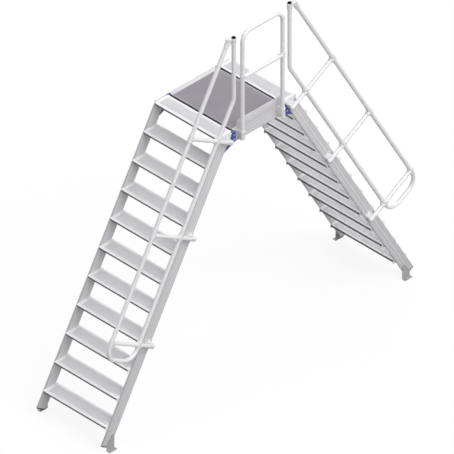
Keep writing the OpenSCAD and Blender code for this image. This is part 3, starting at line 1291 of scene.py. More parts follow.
@dataclass
class Treads:
    """The treads of one flight: ribbed boards with an angle riveted to each end.

    Attributes:
        side: The way that the flight leads.
        kit: The finishes and the tools.
        board: Thickness of the board.
        lip: Height of the lips.
        web: Thickness of the lips and the ribs under the board.
        webs: Ribs under the board between the lips.
        leg: Width of the angle's flat leg.
        upright: Thickness of the angle's upright leg.
        flat: Thickness of the angle's flat leg.
        nosing: Depth of the plain band at the front.
        tail: Depth of the plain band at the back.
        round_off: Radius of the front edge.
        rib: Form of the ribs on top.
        groove: Width of the grooves that part the ribs from the plain bands.
        groove_depth: Their depth under the ribs' feet.
        teeth_rows: Rows of teeth on the front band.
        teeth_across: Teeth in a row.
        teeth_band: Distance from the first row to the last.
        teeth_behind: How far the rows' middle is behind the middle of the front band.
        teeth_inset: How much shorter a row is than the board.
        tooth: Distance from a tooth's middle to its corners.
        tooth_height: Height of a tooth, from its foot inside the board.
        tooth_sunk: How far the teeth's middles are below the band.
        rivet_depths: How far behind the front edge the rivets are.
        rivet_line: How far below the boards the rivets to the stile are.
        rivet_head: Radius and height of a rivet's head, inside the stile.
        rivet_tail: Radius and height of its other end, outside.
        leg_screw: Radius of the screws through the flat leg.
    """

    side: Side
    kit: Kit
    board: float = 0.004
    lip: float = 0.022
    web: float = 0.004
    webs: int = 2
    leg: float = 0.028
    upright: float = 0.005
    flat: float = TREAD_ANGLE
    nosing: float = 0.029
    tail: float = 0.024
    round_off: float = 0.004
    rib: RibForm = RibForm(0.0074, 0.0062, 0.0052, 0.0007)
    groove: float = 0.0018
    groove_depth: float = 0.0008
    teeth_rows: int = 3
    teeth_across: int = 76
    teeth_band: float = 0.014
    teeth_behind: float = 0.002
    teeth_inset: float = 0.012
    tooth: float = 0.003
    tooth_height: float = 0.0009
    tooth_sunk: float = 0.0002
    rivet_depths: Pair = (0.038, 0.126)
    rivet_line: float = 0.03
    rivet_head: Pair = (0.0065, 0.003)
    rivet_tail: Pair = (0.005, 0.0016)
    leg_screw: float = 0.0045

    def __post_init__(self) -> None:
        """Reads the treads' places from the model."""
        self.names = self.side.treads
        self.edges = self.side.front_edges
        self.boxes = [box_of(name) for name in self.names]
        self.depth = self.boxes[0].size.x
        self.half_width = self.boxes[0].high.y

    def outline(self) -> List[Pair]:
        """The board's section.

        Returns:
            Its corners, as distances behind the front edge and heights over the board.
        """
        depth, ribs_foot = self.depth, -self.rib.height
        start, end = self.nosing + self.groove, depth - self.tail - self.groove
        arc = [
            (self.round_off * (1 - math.cos(a)), self.round_off * (math.sin(a) - 1))
            for a in (0.0, math.pi / 6, math.pi / 3, math.pi / 2)
        ]
        sunk = ribs_foot - self.groove_depth
        top = [
            (self.nosing, 0.0), (self.nosing, sunk), (start, sunk), (start, ribs_foot),
            (end, ribs_foot), (end, sunk), (depth - self.tail, sunk), (depth - self.tail, 0.0),
            (depth, 0.0),
        ]
        under = [(depth, -self.lip)]
        step = (depth - self.web) / (self.webs + 1)
        for i in range(self.webs + 1, 0, -1):
            far, near = i * step, (i - 1) * step + self.web
            under += [(far, -self.lip), (far, -self.board), (near, -self.board), (near, -self.lip)]
        return arc + top + under + [(0.0, -self.lip)]

    def board_mesh(self, number: int) -> Mesh:
        """Makes one tread: angles in a second material, lips' faces in a third that paints shade.

        Args:
            number: The tread, counted from 0 at the floor.

        Returns:
            Its mesh.
        """
        edge = self.edges[number]
        inner = self.half_width - self.upright
        outline = self.outline()
        shape = Shape()
        section = [edge + self.behind(x) + Vector((0, -inner, z)) for x, z in outline]
        # The lips' front and back faces take the third material, a dark painted shade.
        lips = {len(outline) - 1: THIRD, outline.index((self.depth, 0.0)): THIRD}
        shape.add_prism(section, Vector((0, 2 * inner, 0)), other_tones=lips)
        foot = self.boxes[number].low.z - edge.z
        angle = [
            (self.half_width - self.leg, 0.0), (self.half_width - self.leg, self.flat),
            (self.half_width, self.flat), (self.half_width, foot), (inner, foot), (inner, 0.0),
        ]
        for sign in (-1, 1):
            corners = [edge + Vector((0, sign * y, z)) for y, z in angle]
            shape.add_prism(corners, self.behind(self.depth), tone=SECOND)
        return shape.finished("tread")

    def behind(self, distance: float) -> Vector:
        """The way to a place behind the front edge."""
        return Vector((-self.side.value * distance, 0.0, 0.0))

    def build(self) -> None:
        """Shows the treads with their ribs, teeth and rivets."""
        alloy = self.kit.finishes.tread
        tones = [alloy, self.kit.finishes.trim, self.kit.finishes.lip]
        for number, name in enumerate(self.names):
            show(f"{name}_board", self.board_mesh(number), tones, [name])
        name = f"{self.side.flight}_tread"
        count, margin = self.rib.fitted(self.depth - self.nosing - self.tail - 2 * self.groove)
        first = self.nosing + self.groove + margin
        start = first + (count - 1) * self.rib.pitch if self.side is Side.HIGH else first
        shift = self.behind(start) - UP * (self.rib.height / 2)
        length = 2 * (self.half_width - self.leg)
        points = [edge + shift for edge in self.edges]
        self.kit.ribbing.lay(f"{name}_ribs", "tread", self.rib, count, length, points, alloy)
        shift = self.behind(self.nosing / 2 + self.teeth_behind) - UP * self.tooth_sunk
        spots = [Spot(edge + shift) for edge in self.edges]
        sizes = {
            "Rows": self.teeth_rows, "Teeth": self.teeth_across, "Band": self.teeth_band,
            "Length": length - self.teeth_inset, "Tooth": self.tooth, "Height": self.tooth_height,
        }
        self.kit.serration.run(f"{name}_teeth", "tread", spots, alloy, sizes)
        self.build_rivets()

    def build_rivets(self) -> None:
        """Shows the rivets through the angles, inside the stiles, outside them and on top."""
        flight, steel = self.side.flight, self.kit.finishes.fastener
        outer = box_of(f"{flight}_stile_open_side").high.y
        inner, on_leg = self.half_width - self.upright, self.half_width - self.leg / 2
        inside, outside, on_top = [], [], []
        for edge in self.edges:
            for across in (FRONT, BACK):
                for depth in self.rivet_depths:
                    spot = edge + self.behind(depth)
                    level = spot - UP * self.rivet_line
                    inside.append(Spot(level + across * inner, -across))
                    outside.append(Spot(level + across * outer, across))
                    on_top.append(Spot(spot + UP * self.flat + across * on_leg))
        scatter, stile = self.kit.scatter, self.kit.finishes.stile[self.side]
        head, tail, screw = rivet(*self.rivet_head), rivet(*self.rivet_tail), self.leg_screw
        scatter.lay(f"{flight}_rivet_heads", "tread", head, inside, steel)
        scatter.lay(f"{flight}_rivet_tails", "stile", tail, outside, stile)
        scatter.lay(f"{flight}_angle_screws", "tread", flush_screw(screw), on_top, steel)


@dataclass
class Stiles:
    """The stiles, their black end caps and the feet.

    Attributes:
        kit: The finishes and the tools.
        slopes: The slopes of the flights.
        edge: Rounding of the section's edges.
        border: Distance from the section's edges to the fine grooves of its outer face.
        line: Width of those grooves.
        front_line: Width of the grooves along its front.
        front_places: Their places, as shares of the section's width from its inner face.
        cap_edge: Rounding of the end caps' edges.
        foot_edge: Rounding of the feet's edges.
        foot_leg: Thickness of a foot's upright leg.
        foot_places: Places of a foot's rivets, as shares of its length and its height.
        foot_rivet: Radius and height of their heads.
    """

    kit: Kit
    slopes: Sequence[Slope]
    edge: float = 0.0015
    border: float = 0.014
    line: float = 0.003
    front_line: float = 0.0024
    front_places: Pair = (0.34, 0.66)
    cap_edge: float = 0.002
    foot_edge: float = 0.0012
    foot_leg: float = 0.005
    foot_places: Tuple[Pair, ...] = ((0.56, 0.36), (0.34, 0.68))
    foot_rivet: Pair = (0.0075, 0.0025)

    def build_stile(self, node: str, slope: Slope) -> None:
        """Shows a stile with fine grooves along its outer face and its front.

        Args:
            node: The stile's name.
            slope: Its slope.
        """
        box = box_of(node)
        outward, inner = box.outward[1], box.near[1]
        outer = box.low.y + box.high.y - inner
        stile = CadCopy(node)
        outs = [slope.measured(vert.co)[1] for vert in stile.bm.verts]
        back, front = min(outs), max(outs)
        stile.mark_grooves()
        stile.soften(self.edge)
        for out in (back + self.border, front - self.border):
            point = slope.point(0.0, out, outer)
            stile.score(point, slope.out, Vector((0, -outward, 0)), self.line)
        for share in self.front_places:
            point = slope.point(0.0, front, inner + share * (outer - inner))
            stile.score(point, BACK, -slope.out, self.front_line)
        # The grooves take the second material, a darker grey of painted shade.
        materials = [self.kit.finishes.stile[slope.side], self.kit.finishes.groove]
        show(f"{node}_finished", stile.finished(node), materials, [node])

    def build(self) -> None:
        """Shows the stiles, caps and feet with the feet's rivets."""
        for slope in self.slopes:
            for place in ("rail_side", "open_side"):
                self.build_stile(f"{slope.side.flight}_stile_{place}", slope)
        zinc = self.kit.finishes.foot
        show_softened("stile_end_caps", self.cap_edge, "end_cap", self.kit.finishes.cap)
        show_softened("feet", self.foot_edge, "foot", zinc)
        head = rivet(*self.foot_rivet)
        self.kit.scatter.lay("foot_rivets", "foot", head, self.foot_spots(), zinc)

    def foot_spots(self) -> List[Spot]:
        """Finds the places of the rivets on the upright leg of each foot.

        Returns:
            The places.
        """
        spots = []
        for foot in islands("feet"):
            (way, across), (near_x, near_y) = foot.outward, foot.near
            for along, up in self.foot_places:
                x = near_x + way * along * foot.size.x
                point = Vector((x, near_y + across * self.foot_leg, up * foot.high.z))
                spots.append(Spot(point, Vector((0.0, across, 0.0))))
        return spots


# ---- The platform ----


@dataclass
class Platform:
    """The deck, its frame and beams, the toe board and the connectors.

    Attributes:
        kit: The finishes and the tools.
        rib: Form of the deck's ribs.
        edge_band: Plain band at both ends of the deck.
        beam_edge: Rounding of the beams' edges.
        sheet_edge: Rounding of the edges of the frame and the toe board.
        connector_edge: Rounding of the connectors' edges.
        deck_screws: Screws along each edge of the deck.
        toe_rivets: Rivets along the toe board.
        toe_rivet_shift: How far behind the middle of the toe board's foot they are.
        toe_sheet: Thickness of the toe board's sheet.
        connector_places: Places of a connector's bolts, as shares of its length and its height.
        deck_screw: Radius of the deck's screws.
        toe_rivet: Radius and height of a toe rivet's head.
        connector_bolt: Half the width and the height of a connector bolt's head.
    """

    kit: Kit
    rib: RibForm = RibForm(0.0086, 0.0068, 0.0058, 0.0006)
    edge_band: float = 0.012
    beam_edge: float = 0.0015
    sheet_edge: float = 0.0008
    connector_edge: float = 0.002
    deck_screws: int = 5
    toe_rivets: int = 4
    toe_rivet_shift: float = 0.002
    toe_sheet: float = 0.004
    connector_places: Tuple[Pair, ...] = ((0.14, 0.8), (0.14, 0.52), (0.52, 0.42))
    deck_screw: float = 0.006
    toe_rivet: Pair = (0.006, 0.003)
    connector_bolt: Pair = (0.0065, 0.006)

    def build(self) -> None:
        """Shows the platform's pieces."""
        look = self.kit.finishes
        show_softened("platform_side_beams", self.beam_edge, "stile", look.beam)
        # The frame's ends along X take a near-black painted shadow.
        show_softened("platform_frame", self.sheet_edge, "frame", look.frame, look.shadow)
        show_softened("toe_board", self.sheet_edge, "toe_board", look.toe_board)
        show_softened("platform_connectors", self.connector_edge, "connector", look.connector)
        self.build_deck()
        self.build_screws()

    def build_deck(self) -> None:
        """Shows the deck plate, sunk between its plain ends, and the ribs that fill it."""
        deck, grip = box_of("platform_deck"), self.kit.finishes.deck
        low, high, inset, drop = deck.low, deck.high, self.edge_band, self.rib.height
        section = [
            (low.x, low.z), (high.x, low.z), (high.x, high.z - drop / 2),
            (high.x - drop / 2, high.z), (high.x - inset, high.z), (high.x - inset, high.z - drop),
            (low.x + inset, high.z - drop), (low.x + inset, high.z),
            (low.x + drop / 2, high.z), (low.x, high.z - drop / 2),
        ]
        shape = Shape()
        shape.add_prism([Vector((x, low.y, z)) for x, z in section], BACK * deck.size.y)
        show("deck_plate", shape.finished("deck"), [grip], ["platform_deck"])
        count, margin = self.rib.fitted(deck.size.x - 2 * inset)
        first = Vector((low.x + inset + margin, deck.centre.y, high.z - drop / 2))
        self.kit.ribbing.lay("deck_ribs", "deck", self.rib, count, deck.size.y, [first], grip)

    def build_screws(self) -> None:
        """Shows the screws of the deck's edge, the toe board's rivets and the connectors' bolts."""
        scatter, steel = self.kit.scatter, self.kit.finishes.fastener
        deck, edging, toe = (box_of(n) for n in ("platform_deck", "platform_frame", "toe_board"))
        edge_y = (deck.high.y + edging.high.y) / 2
        along = spread(deck.low.x, deck.high.x, self.deck_screws)
        spots = [Spot(Vector((x, s * edge_y, edging.high.z))) for x in along for s in (-1, 1)]
        scatter.lay("deck_screws", "frame", flush_screw(self.deck_screw), spots, steel)
        y, z = toe.centre.y + self.toe_rivet_shift, toe.low.z + self.toe_sheet
        spots = [Spot(Vector((x, y, z))) for x in spread(toe.low.x, toe.high.x, self.toe_rivets)]
        scatter.lay("toe_board_rivets", "toe_board", rivet(*self.toe_rivet), spots, steel)
        bolt = hex_bolt(*self.connector_bolt)
        scatter.lay("connector_bolts", "connector", bolt, self.connector_spots(), steel)

    def connector_spots(self) -> List[Spot]:
        """Finds the places of the bolts on both faces of each connector.

        Returns:
            The places.
        """
        spots = []
        for piece in islands("platform_connectors"):
            for along, up in self.connector_places:
                x = piece.near[0] + piece.outward[0] * along * piece.size.x
                z = piece.low.z + up * piece.size.z
                spots.append(Spot(Vector((x, piece.low.y, z)), FRONT))
                spots.append(Spot(Vector((x, piece.high.y, z)), BACK))
        return spots


# ---- Guard and handrails ----


def axis_place(point: Vector, axis: Vector) -> Matrix:
    """Moves a shape made along Z so that its axis starts at a point and runs along a way."""
    return Matrix.Translation(point) @ axis.to_track_quat("Z", "Y").to_matrix().to_4x4()


@dataclass
class Clamps:
    """The clamps of a group of tubes: sleeves of one form, with set screws at their front.

    Attributes:
        kit: The finishes and the tools.
        sleeve: Form of a sleeve.
        length: Length of a clamp.
        wall: Wall of a clamp, which a tee reaches past half its length.
        tee_screw: Distance from the rail's middle to a tee's screw.
        screw: Radius and height of a set screw's boss.
        screws: The places of the set screws.
    """

    kit: Kit
    sleeve: SleeveForm = SleeveForm()
    length: float = 0.066
    wall: float = 0.006
    tee_screw: float = 0.03
    screw: Pair = (0.006, 0.0014)
    screws: List[Spot] = field(default_factory=list)

    @property
    def tee_length(self) -> float:
        """Length of a tee's sleeve, from the rail's middle."""
        return self.length / 2 + self.wall

    def add_screws(self, *points: Vector) -> None:
        """Puts set screws on the front of sleeves, beside points of their axes."""
        self.screws += [Spot(point + FRONT * self.sleeve.waist, FRONT) for point in points]

    def show_sleeves(
        self, name: str, length: float, spots: Sequence[Spot], stands_for: Sequence[str] = ()
    ) -> None:
        """Shows sleeves of one length.

        Args:
            name: The piece's name.
            length: Their length.
            spots: Where their axes start.
            stands_for: The nodes that they are shown instead of.
        """
        sleeve, cast = self.sleeve.made(length), self.kit.finishes.fitting
        self.kit.scatter.lay(name, "fitting", sleeve, spots, cast, stands_for)

    def show_screws(self, name: str) -> None:
        """Shows the set screws as one piece."""
        screw = set_screw(*self.screw)
        self.kit.scatter.lay(name, "fitting", screw, self.screws, self.kit.finishes.fastener)


@dataclass
class Guard:
    """The guard hoop with its knee rail, and the sleeves and sockets that hold them.

    Attributes:
        kit: The finishes and the tools.
        foot_reach: Height over the hoop's foot under which a bracket is one of its sockets.
        lid_radius: Radius of the lid that closes a socket from below.
        lid: Thickness of that lid.
        block_gap: How far the block behind a socket keeps from the tube's middle.
        block_trim: How much shorter the block is than the socket.
        base: Thickness of the plate behind the block.
        edge: Rounding of the blocks' edges.
        socket_screw: Distance from a socket's ends to its screws.
        knee_screw: Height of a sleeve's screw over the knee rail.
    """

    kit: Kit
    foot_reach: float = 0.2
    lid_radius: float = 0.024
    lid: float = 0.004
    block_gap: float = 0.001
    block_trim: float = 0.004
    base: float = 0.008
    edge: float = 0.0015
    socket_screw: float = 0.022
    knee_screw: float = 0.02

    def build(self) -> None:
        """Shows the brackets and finishes the tubes."""
        dress(("guard_hoop", "guard_knee_rail"), self.kit.finishes.tube)
        hoop, knee_z = box_of("guard_hoop"), box_of("guard_knee_rail").centre.z
        y, leg_x = hoop.centre.y, hoop.high.x - hoop.size.y / 2
        clamps, blocks = Clamps(self.kit), Shape()
        whole, stubs, sockets = [], [], []
        limit = hoop.low.z + self.foot_reach
        brackets = [piece for piece in islands("guard_brackets") if piece.centre.z < limit]
        for piece in brackets:
            way = piece.outward[0]
            inward = Vector((-way, 0, 0))
            knee = Vector((way * leg_x, y, knee_z))
            foot = Vector((knee.x, y, piece.low.z))
            whole.append(Spot(knee - UP * (clamps.length / 2)))
            stubs.append(Spot(knee, inward))
            sockets.append(Spot(foot))
            self.add_block(blocks, clamps.sleeve, foot, piece)
            head = foot + UP * piece.size.z
            clamps.add_screws(
                head - UP * self.socket_screw,
                foot + UP * self.socket_screw,
                knee + UP * self.knee_screw,
                knee + inward * clamps.tee_screw,
            )
        blocks.soften(self.edge)
        mesh, cast = blocks.finished("blocks"), self.kit.finishes.fitting
        show("guard_socket_blocks", mesh, [cast], ["guard_brackets"])
        clamps.show_sleeves("guard_sleeves", clamps.length, whole)
        clamps.show_sleeves("guard_tees", clamps.tee_length, stubs)
        clamps.show_sleeves("guard_sockets", brackets[0].size.z, sockets)
        clamps.show_screws("guard_set_screws")

    def add_block(self, blocks: Shape, sleeve: SleeveForm, foot: Vector, piece: Island) -> None:
        """Adds the block behind a socket, the plate behind the block and the socket's lid.

        Args:
            blocks: The mesh that they are added to.
            sleeve: Form of the socket.
            foot: Where the socket's axis starts.
            piece: The socket in the model.
        """
        back, height, z = piece.high.y, piece.size.z, piece.centre.z
        reach = back - foot.y - self.block_gap
        size = Vector((2 * sleeve.waist, reach, height - self.block_trim))
        blocks.add_box(Vector((foot.x, (back + foot.y) / 2, z)), size)
        plate = Vector((2 * sleeve.rim, self.base, height))
        blocks.add_box(Vector((foot.x, back - self.base / 2, z)), plate)
        lid = [
            Ring(0, 0), Ring(self.lid_radius, 0), Ring(self.lid_radius, self.lid),
            Ring(0, self.lid),
        ]
        blocks.add_turned(lid, axis_place(foot, UP), segments=28)


@dataclass
class Handrail:
    """One flight's handrail: post, loop, struts and their fittings.

    Attributes:
        slope: The flight's slope.
        kit: The finishes and the tools.
        sleeve_screw: Distance from a sleeve's middle to its two screws.
        saddle_screw: The same on a saddle.
        post_screw: Distance from the elbow's middle, or the post's top, to a socket's screw.
        plug_radius: Radius of the plugs in the struts' feet.
        knuckle_reach: Distance from the upper rail's end to the elbow's pivot.
        socket_start: Distance from the pivot to the start of the upper rail's socket.
        leaves: Start, width and radius of each leaf of the elbow's hinge, along Y.
        leaf_edge: Width of the leaves' bevelled edges.
        arm: Half the height of the arm from the hinge to the post, and its width.
        arm_gap: How far the arm ends below the post's top.
        bolt_reach: Distance from the pivot's middle to the heads of its bolt.
        elbow_bolt: Half the width and the height of those heads.
        rail_margin: Height over the lower rail above which the loop is the upper one.
        saddle: Length along the stile, thickness, and height of a saddle's plate.
        web: Height of the web between a saddle's plate and its sleeve.
        web_trim: How much narrower the web is than the sleeve.
        saddle_edge: Rounding of a saddle's edges.
        bolt_places: A saddle's bolts, along the stile and square to it, from its middle.
        saddle_bolt: Half the width and the height of their heads.
    """

    slope: Slope
    kit: Kit
    sleeve_screw: float = 0.02
    saddle_screw: float = 0.016
    post_screw: float = 0.045
    plug_radius: float = 0.0195
    knuckle_reach: float = 0.024
    socket_start: float = 0.014
    leaves: Tuple[Triple, ...] = (
        (-0.02, 0.0125, 0.0245),
        (-0.007, 0.014, 0.022),
        (0.0075, 0.0125, 0.0245),
    )
    leaf_edge: float = 0.001
    arm: Pair = (0.016, 0.02)
    arm_gap: float = 0.002
    bolt_reach: float = 0.02
    elbow_bolt: Pair = (0.0065, 0.005)
    rail_margin: float = 0.1
    saddle: Triple = (0.095, 0.005, 0.08)
    web: float = 0.056
    web_trim: float = 0.002
    saddle_edge: float = 0.0018
    bolt_places: Pair = (0.0375, 0.03)
    saddle_bolt: Pair = (0.005, 0.005)

    def __post_init__(self) -> None:
        """Reads the struts' places and the rails' heights from the model."""
        self.flight = self.slope.side.flight
        self.name = f"{self.flight}_handrail"
        struts = islands(f"{self.name}_struts")
        self.y = struts[0].centre.y
        reaches = []
        for strut in struts:
            downs, outs = zip(*(self.slope.measured(corner) for corner in strut.corners))
            reaches.append(((min(downs) + max(downs)) / 2, min(outs), max(outs)))
        reaches.sort(key=lambda reach: (round(reach[0], 3), reach[1]))
        self.places = [reach[0] for reach in reaches[::2]]
        (_, self.foot, lower_top), (_, upper_low, upper_top) = reaches[:2]
        self.lower = (lower_top + upper_low) / 2
        self.upper = upper_top + (upper_low - lower_top) / 2

    def build(self) -> None:
        """Shows the fittings and finishes the tubes."""
        clamps, look = Clamps(self.kit), self.kit.finishes
        dress((f"{self.name}_{part}" for part in ("post", "loop", "struts")), look.tube)
        half = clamps.length / 2
        along, out = self.slope.down, self.slope.out
        whole, stubs, plugs = [], [], []
        for place in self.places:
            crossing, tee, foot = (
                self.slope.point(place, level, self.y)
                for level in (self.lower, self.upper, self.foot)
            )
            for middle in (crossing, tee):
                whole.append(Spot(middle - along * half, along))
                clamps.add_screws(*(middle + along * s * self.sleeve_screw for s in (-1, 1)))
            whole.append(Spot(crossing - out * half, out))
            stubs.append(Spot(tee, -out))
            clamps.add_screws(tee - out * clamps.tee_screw)
            plugs.append(Spot(foot, -out))
        for saddle in self.saddles():
            whole.append(Spot(saddle - out * half, out))
            clamps.add_screws(*(saddle + out * s * self.saddle_screw for s in (-1, 1)))
        pivot, post = self.elbow_places()
        whole.append(Spot(post - UP * clamps.length))
        clamps.add_screws(post - UP * self.post_screw, pivot + along * self.post_screw)
        replaced = [f"{self.name}_fittings"]
        socket = [Spot(pivot + along * self.socket_start, along)]
        socket_length = clamps.length - self.socket_start
        clamps.show_sleeves(f"{self.name}_sleeves", clamps.length, whole, replaced)
        clamps.show_sleeves(f"{self.name}_tees", clamps.tee_length, stubs)
        clamps.show_sleeves(f"{self.name}_socket", socket_length, socket)
        clamps.show_screws(f"{self.name}_set_screws")
        end = plug(self.plug_radius)
        self.kit.scatter.lay(f"{self.name}_plugs", "end_cap", end, plugs, look.plug)
        self.build_saddles(clamps.sleeve)
        self.build_elbow(pivot, post)

    def saddles(self) -> List[Vector]:
        """Finds the saddles, which are the fittings below the line of the nosings.

        Returns:
            Their middles, on the struts' line.
        """
        fittings = islands(f"{self.name}_fittings")
        places = [self.slope.measured(piece.centre) for piece in fittings]
        return [self.slope.point(down, out, self.y) for down, out in places if out < 0]

    def build_saddles(self, sleeve: SleeveForm) -> None:
        """Shows the castings that hold the struts on the stile, with their bolts.

        Args:
            sleeve: Form of a saddle's sleeve.
        """
        face = box_of(f"{self.flight}_stile_rail_side").low.y
        along, out = self.slope.down, self.slope.out
        turn = Matrix((along, BACK, out)).transposed()
        bolt_along, bolt_out = self.bolt_places
        plate = Vector(self.saddle)
        web = Vector((2 * sleeve.waist - self.web_trim, face - self.y, self.web))
        shape, bolts = Shape(), []
        for middle in self.saddles():
            centre = Vector((middle.x, face - plate.y / 2, middle.z))
            shape.add_box(centre, plate, turn)
            shape.add_box(Vector((middle.x, (face + self.y) / 2, middle.z)), web, turn)
            for a, b in ((-1, -1), (-1, 1), (1, -1), (1, 1)):
                spot = centre + along * a * bolt_along + out * b * bolt_out
                bolts.append(Spot(Vector((spot.x, face - plate.y, spot.z)), FRONT))
        shape.soften(self.saddle_edge)
        name, look = f"{self.flight}_saddle", self.kit.finishes
        show(f"{name}s", shape.finished("saddle"), [look.fitting])
        head = hex_bolt(*self.saddle_bolt)
        self.kit.scatter.lay(f"{name}_bolts", "fitting", head, bolts, look.fastener)

    def elbow_places(self) -> Tuple[Vector, Vector]:
        """Reads the elbow's places from the model.

        Returns:
            The elbow's pivot, and the middle of the post's top.
        """
        loop = islands(f"{self.name}_loop")[0]
        places = [self.slope.measured(corner) for corner in loop.corners]
        end = min(down for down, out in places if out > self.lower + self.rail_margin)
        pivot = self.slope.point(end - self.knuckle_reach, self.upper, self.y)
        post, way = box_of(f"{self.name}_post"), self.slope.side.value
        inner = post.low.x if self.slope.side is Side.HIGH else post.high.x
        return pivot, Vector((inner + way * post.size.y / 2, self.y, post.high.z))

    def build_elbow(self, pivot: Vector, post: Vector) -> None:
        """Shows the hinged elbow between the post and the upper rail.

        Args:
            pivot: Middle of its pivot.
            post: Middle of the post's top.
        """
        shape, edge = Shape(), self.leaf_edge
        for start, width, radius in self.leaves:
            rings = [
                Ring(0, 0), Ring(radius - edge, 0), Ring(radius, edge),
                Ring(radius, width - edge), Ring(radius - edge, width), Ring(0, width),
            ]
            shape.add_turned(rings, axis_place(pivot + BACK * start, BACK), segments=28)
        half, width = self.arm
        low, high = pivot.z - half, min(pivot.z + half, post.z - self.arm_gap)
        middle = Vector(((pivot.x + post.x) / 2, self.y, (low + high) / 2))
        shape.add_box(middle, Vector((abs(pivot.x - post.x), width, high - low)))
        name, look = f"{self.flight}_elbow", self.kit.finishes
        show(name, shape.finished("elbow"), [look.fitting])
        ends = [Spot(pivot + way * self.bolt_reach, way) for way in (FRONT, BACK)]
        head = hex_bolt(*self.elbow_bolt)
        self.kit.scatter.lay(f"{name}_bolt", "fitting", head, ends, look.fastener)


@dataclass
class PostCaps:
    """The black caps on the handrail posts.

    Attributes:
        kit: The finishes and the tools.
        edge: Width of the bevelled edge at the foot.
        dome: The rest of the outline, as shares of a cap's radius and its height.
    """

    kit: Kit
    edge: float = 0.0006
    dome: Tuple[Pair, ...] = (
        (1.0, 0.34), (0.97, 0.45), (0.86, 0.7), (0.66, 0.88), (0.36, 0.97), (0.0, 1.0),
    )

    def build(self) -> None:
        """Shows the caps."""
        shape = Shape()
        for cap in islands("handrail_post_caps"):
            radius = cap.size.x / 2
            rings = [Ring(0, 0), Ring(radius - self.edge, 0), Ring(radius, self.edge)]
            rings += [Ring(radius * wide, cap.size.z * high) for wide, high in self.dome]
            base = Vector((*cap.centre.xy, cap.low.z))
            shape.add_turned(rings, Matrix.Translation(base), segments=32)
        mesh = shape.finished("caps")
        show("post_caps", mesh, [self.kit.finishes.cap], ["handrail_post_caps"])


# ---- The studio ----


@dataclass(frozen=True)
class Lamp:
    """A soft, distant lamp.

    Attributes:
        name: Its name.
        toward: The way from the object to it.
        strength: Its strength.
        spread: The angle that it fills, in degrees: wide is soft.
    """

    name: str
    toward: Triple
    strength: float
    spread: float

    def build(self) -> None:
        """Hangs the lamp."""
        light = bpy.data.lights.new(self.name, "SUN")
        light.energy = self.strength
        light.angle = math.radians(self.spread)
        holder = added(self.name, light)
        holder.rotation_mode = "QUATERNION"
        holder.rotation_quaternion = Vector(self.toward).to_track_quat("Z", "Y")


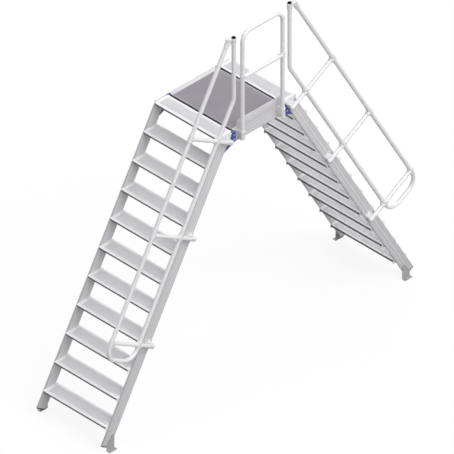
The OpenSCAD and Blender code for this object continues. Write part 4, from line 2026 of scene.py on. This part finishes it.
@dataclass(frozen=True)
class Studio:
    """A pale floor, even light and a long lens that draws almost without perspective.

    Attributes:
        lamps: The lamps.
        ambient: Strength of the light from all round.
        floor_reach: Distance from the middle of the floor to its sides.
        floor_level: Height of the floor, just under the feet.
        floor_grey: The floor's grey in the light that it throws back on the object.
        floor_white: The floor's grey as the camera sees it.
        floor_glow: Share of plain white that the camera sees in the floor.
        target: The point that the camera looks at.
        azimuth: Its direction round the object, in degrees.
        elevation: Its height above the horizon, in degrees.
        roll: Its turn about its own axis, in degrees.
        lens: Its focal length, in millimetres.
        sensor: Width of its sensor, in millimetres.
        distance: Its distance.
    """

    lamps: Tuple[Lamp, ...] = (
        Lamp("key_lamp", (0.03, -0.7, 0.71), 2.15, 60.0),
        Lamp("top_lamp", (0.0, 0.1, 0.99), 0.35, 20.0),
        Lamp("back_lamp", (0.5, 0.75, 0.43), 0.7, 40.0),
    )
    ambient: float = 0.38
    floor_reach: float = 40.0
    floor_level: float = -0.0004
    floor_grey: float = 0.22
    floor_white: float = 0.97
    floor_glow: float = 0.86
    target: Triple = (0.0102, -0.0102, 1.3127)
    azimuth: float = -44.69
    elevation: float = 35.4
    roll: float = -0.14
    lens: float = 1700.0
    sensor: float = 36.0
    distance: float = 196.38

    def build(self) -> None:
        """Sets up the light, the floor, the world and the camera."""
        bpy.context.scene.view_settings.view_transform = "Standard"
        for lamp in self.lamps:
            lamp.build()
        self.build_world()
        self.build_floor()
        self.build_camera()

    def build_world(self) -> None:
        """Makes a world that looks white and lights softly."""
        world = bpy.data.worlds.new("studio")
        graph = Graph(emptied(world))
        strength = self.ambient + (1.0 - self.ambient) * graph.rays(
            "Camera", "Glossy", "Transmission"
        )
        sky = graph.node(
            "ShaderNodeBackground", inputs={"Color": (*WHITE, 1.0), "Strength": strength}
        )
        graph.node("ShaderNodeOutputWorld", inputs={"Surface": sky.outputs[0]})
        bpy.context.scene.world = world

    def build_floor(self) -> None:
        """Lays a pale floor that keeps the object's shadow."""
        mesh = bpy.data.meshes.new("studio_floor")
        signs = ((-1, -1), (1, -1), (1, 1), (-1, 1))
        reach = self.floor_reach
        corners = [(a * reach, b * reach, self.floor_level) for a, b in signs]
        mesh.from_pydata(corners, [], [(0, 1, 2, 3)])
        surface = Surface("studio_floor")
        seen = surface.rays("Camera", "Glossy")
        pale = surface.blend(seen, (self.floor_grey,) * 3, (self.floor_white,) * 3)
        matt = surface.node("ShaderNodeBsdfDiffuse", inputs={"Color": pale})
        white = surface.node("ShaderNodeEmission", inputs={"Color": (*WHITE, 1.0)})
        mixed = {0: self.floor_glow * seen, 1: matt.outputs[0], 2: white.outputs[0]}
        mesh.materials.append(surface.close("ShaderNodeMixShader", mixed))
        added("studio_floor", mesh)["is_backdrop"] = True

    def build_camera(self) -> None:
        """Sets the camera at the viewing angle."""
        around, up = math.radians(self.azimuth), math.radians(self.elevation)
        back = Vector(
            (math.sin(around) * math.cos(up), -math.cos(around) * math.cos(up), math.sin(up))
        )
        data = bpy.data.cameras.new("camera")
        data.lens = self.lens
        data.sensor_width = self.sensor
        data.clip_start, data.clip_end = 1.0, 3.0 * self.distance
        camera = added("camera", data)
        camera.location = Vector(self.target) + back * self.distance
        camera.rotation_mode = "QUATERNION"
        turn = Quaternion(UP, math.radians(self.roll))
        camera.rotation_quaternion = (-back).to_track_quat("-Z", "Y") @ turn
        bpy.context.scene.camera = camera


def main() -> None:
    """Builds the platform's pieces in order and reports each."""
    logging.basicConfig(level=logging.INFO, format="%(name)s: %(message)s")
    cad_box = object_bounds()
    Studio().build()
    slopes = [Slope.of(side) for side in Side]
    kit = Kit(Finishes(slopes), Scatter(), Ribbing(), Serration())
    for side in Side:
        Treads(side, kit).build()
    Stiles(kit, slopes).build()
    Platform(kit).build()
    Guard(kit).build()
    for slope in slopes:
        Handrail(slope, kit).build()
    PostCaps(kit).build()
    boxes = {"cad": cad_box, "visual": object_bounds()}
    {name: [list(corner) for corner in box] for name, box in boxes.items()}


if __name__ == "__main__":
    main()
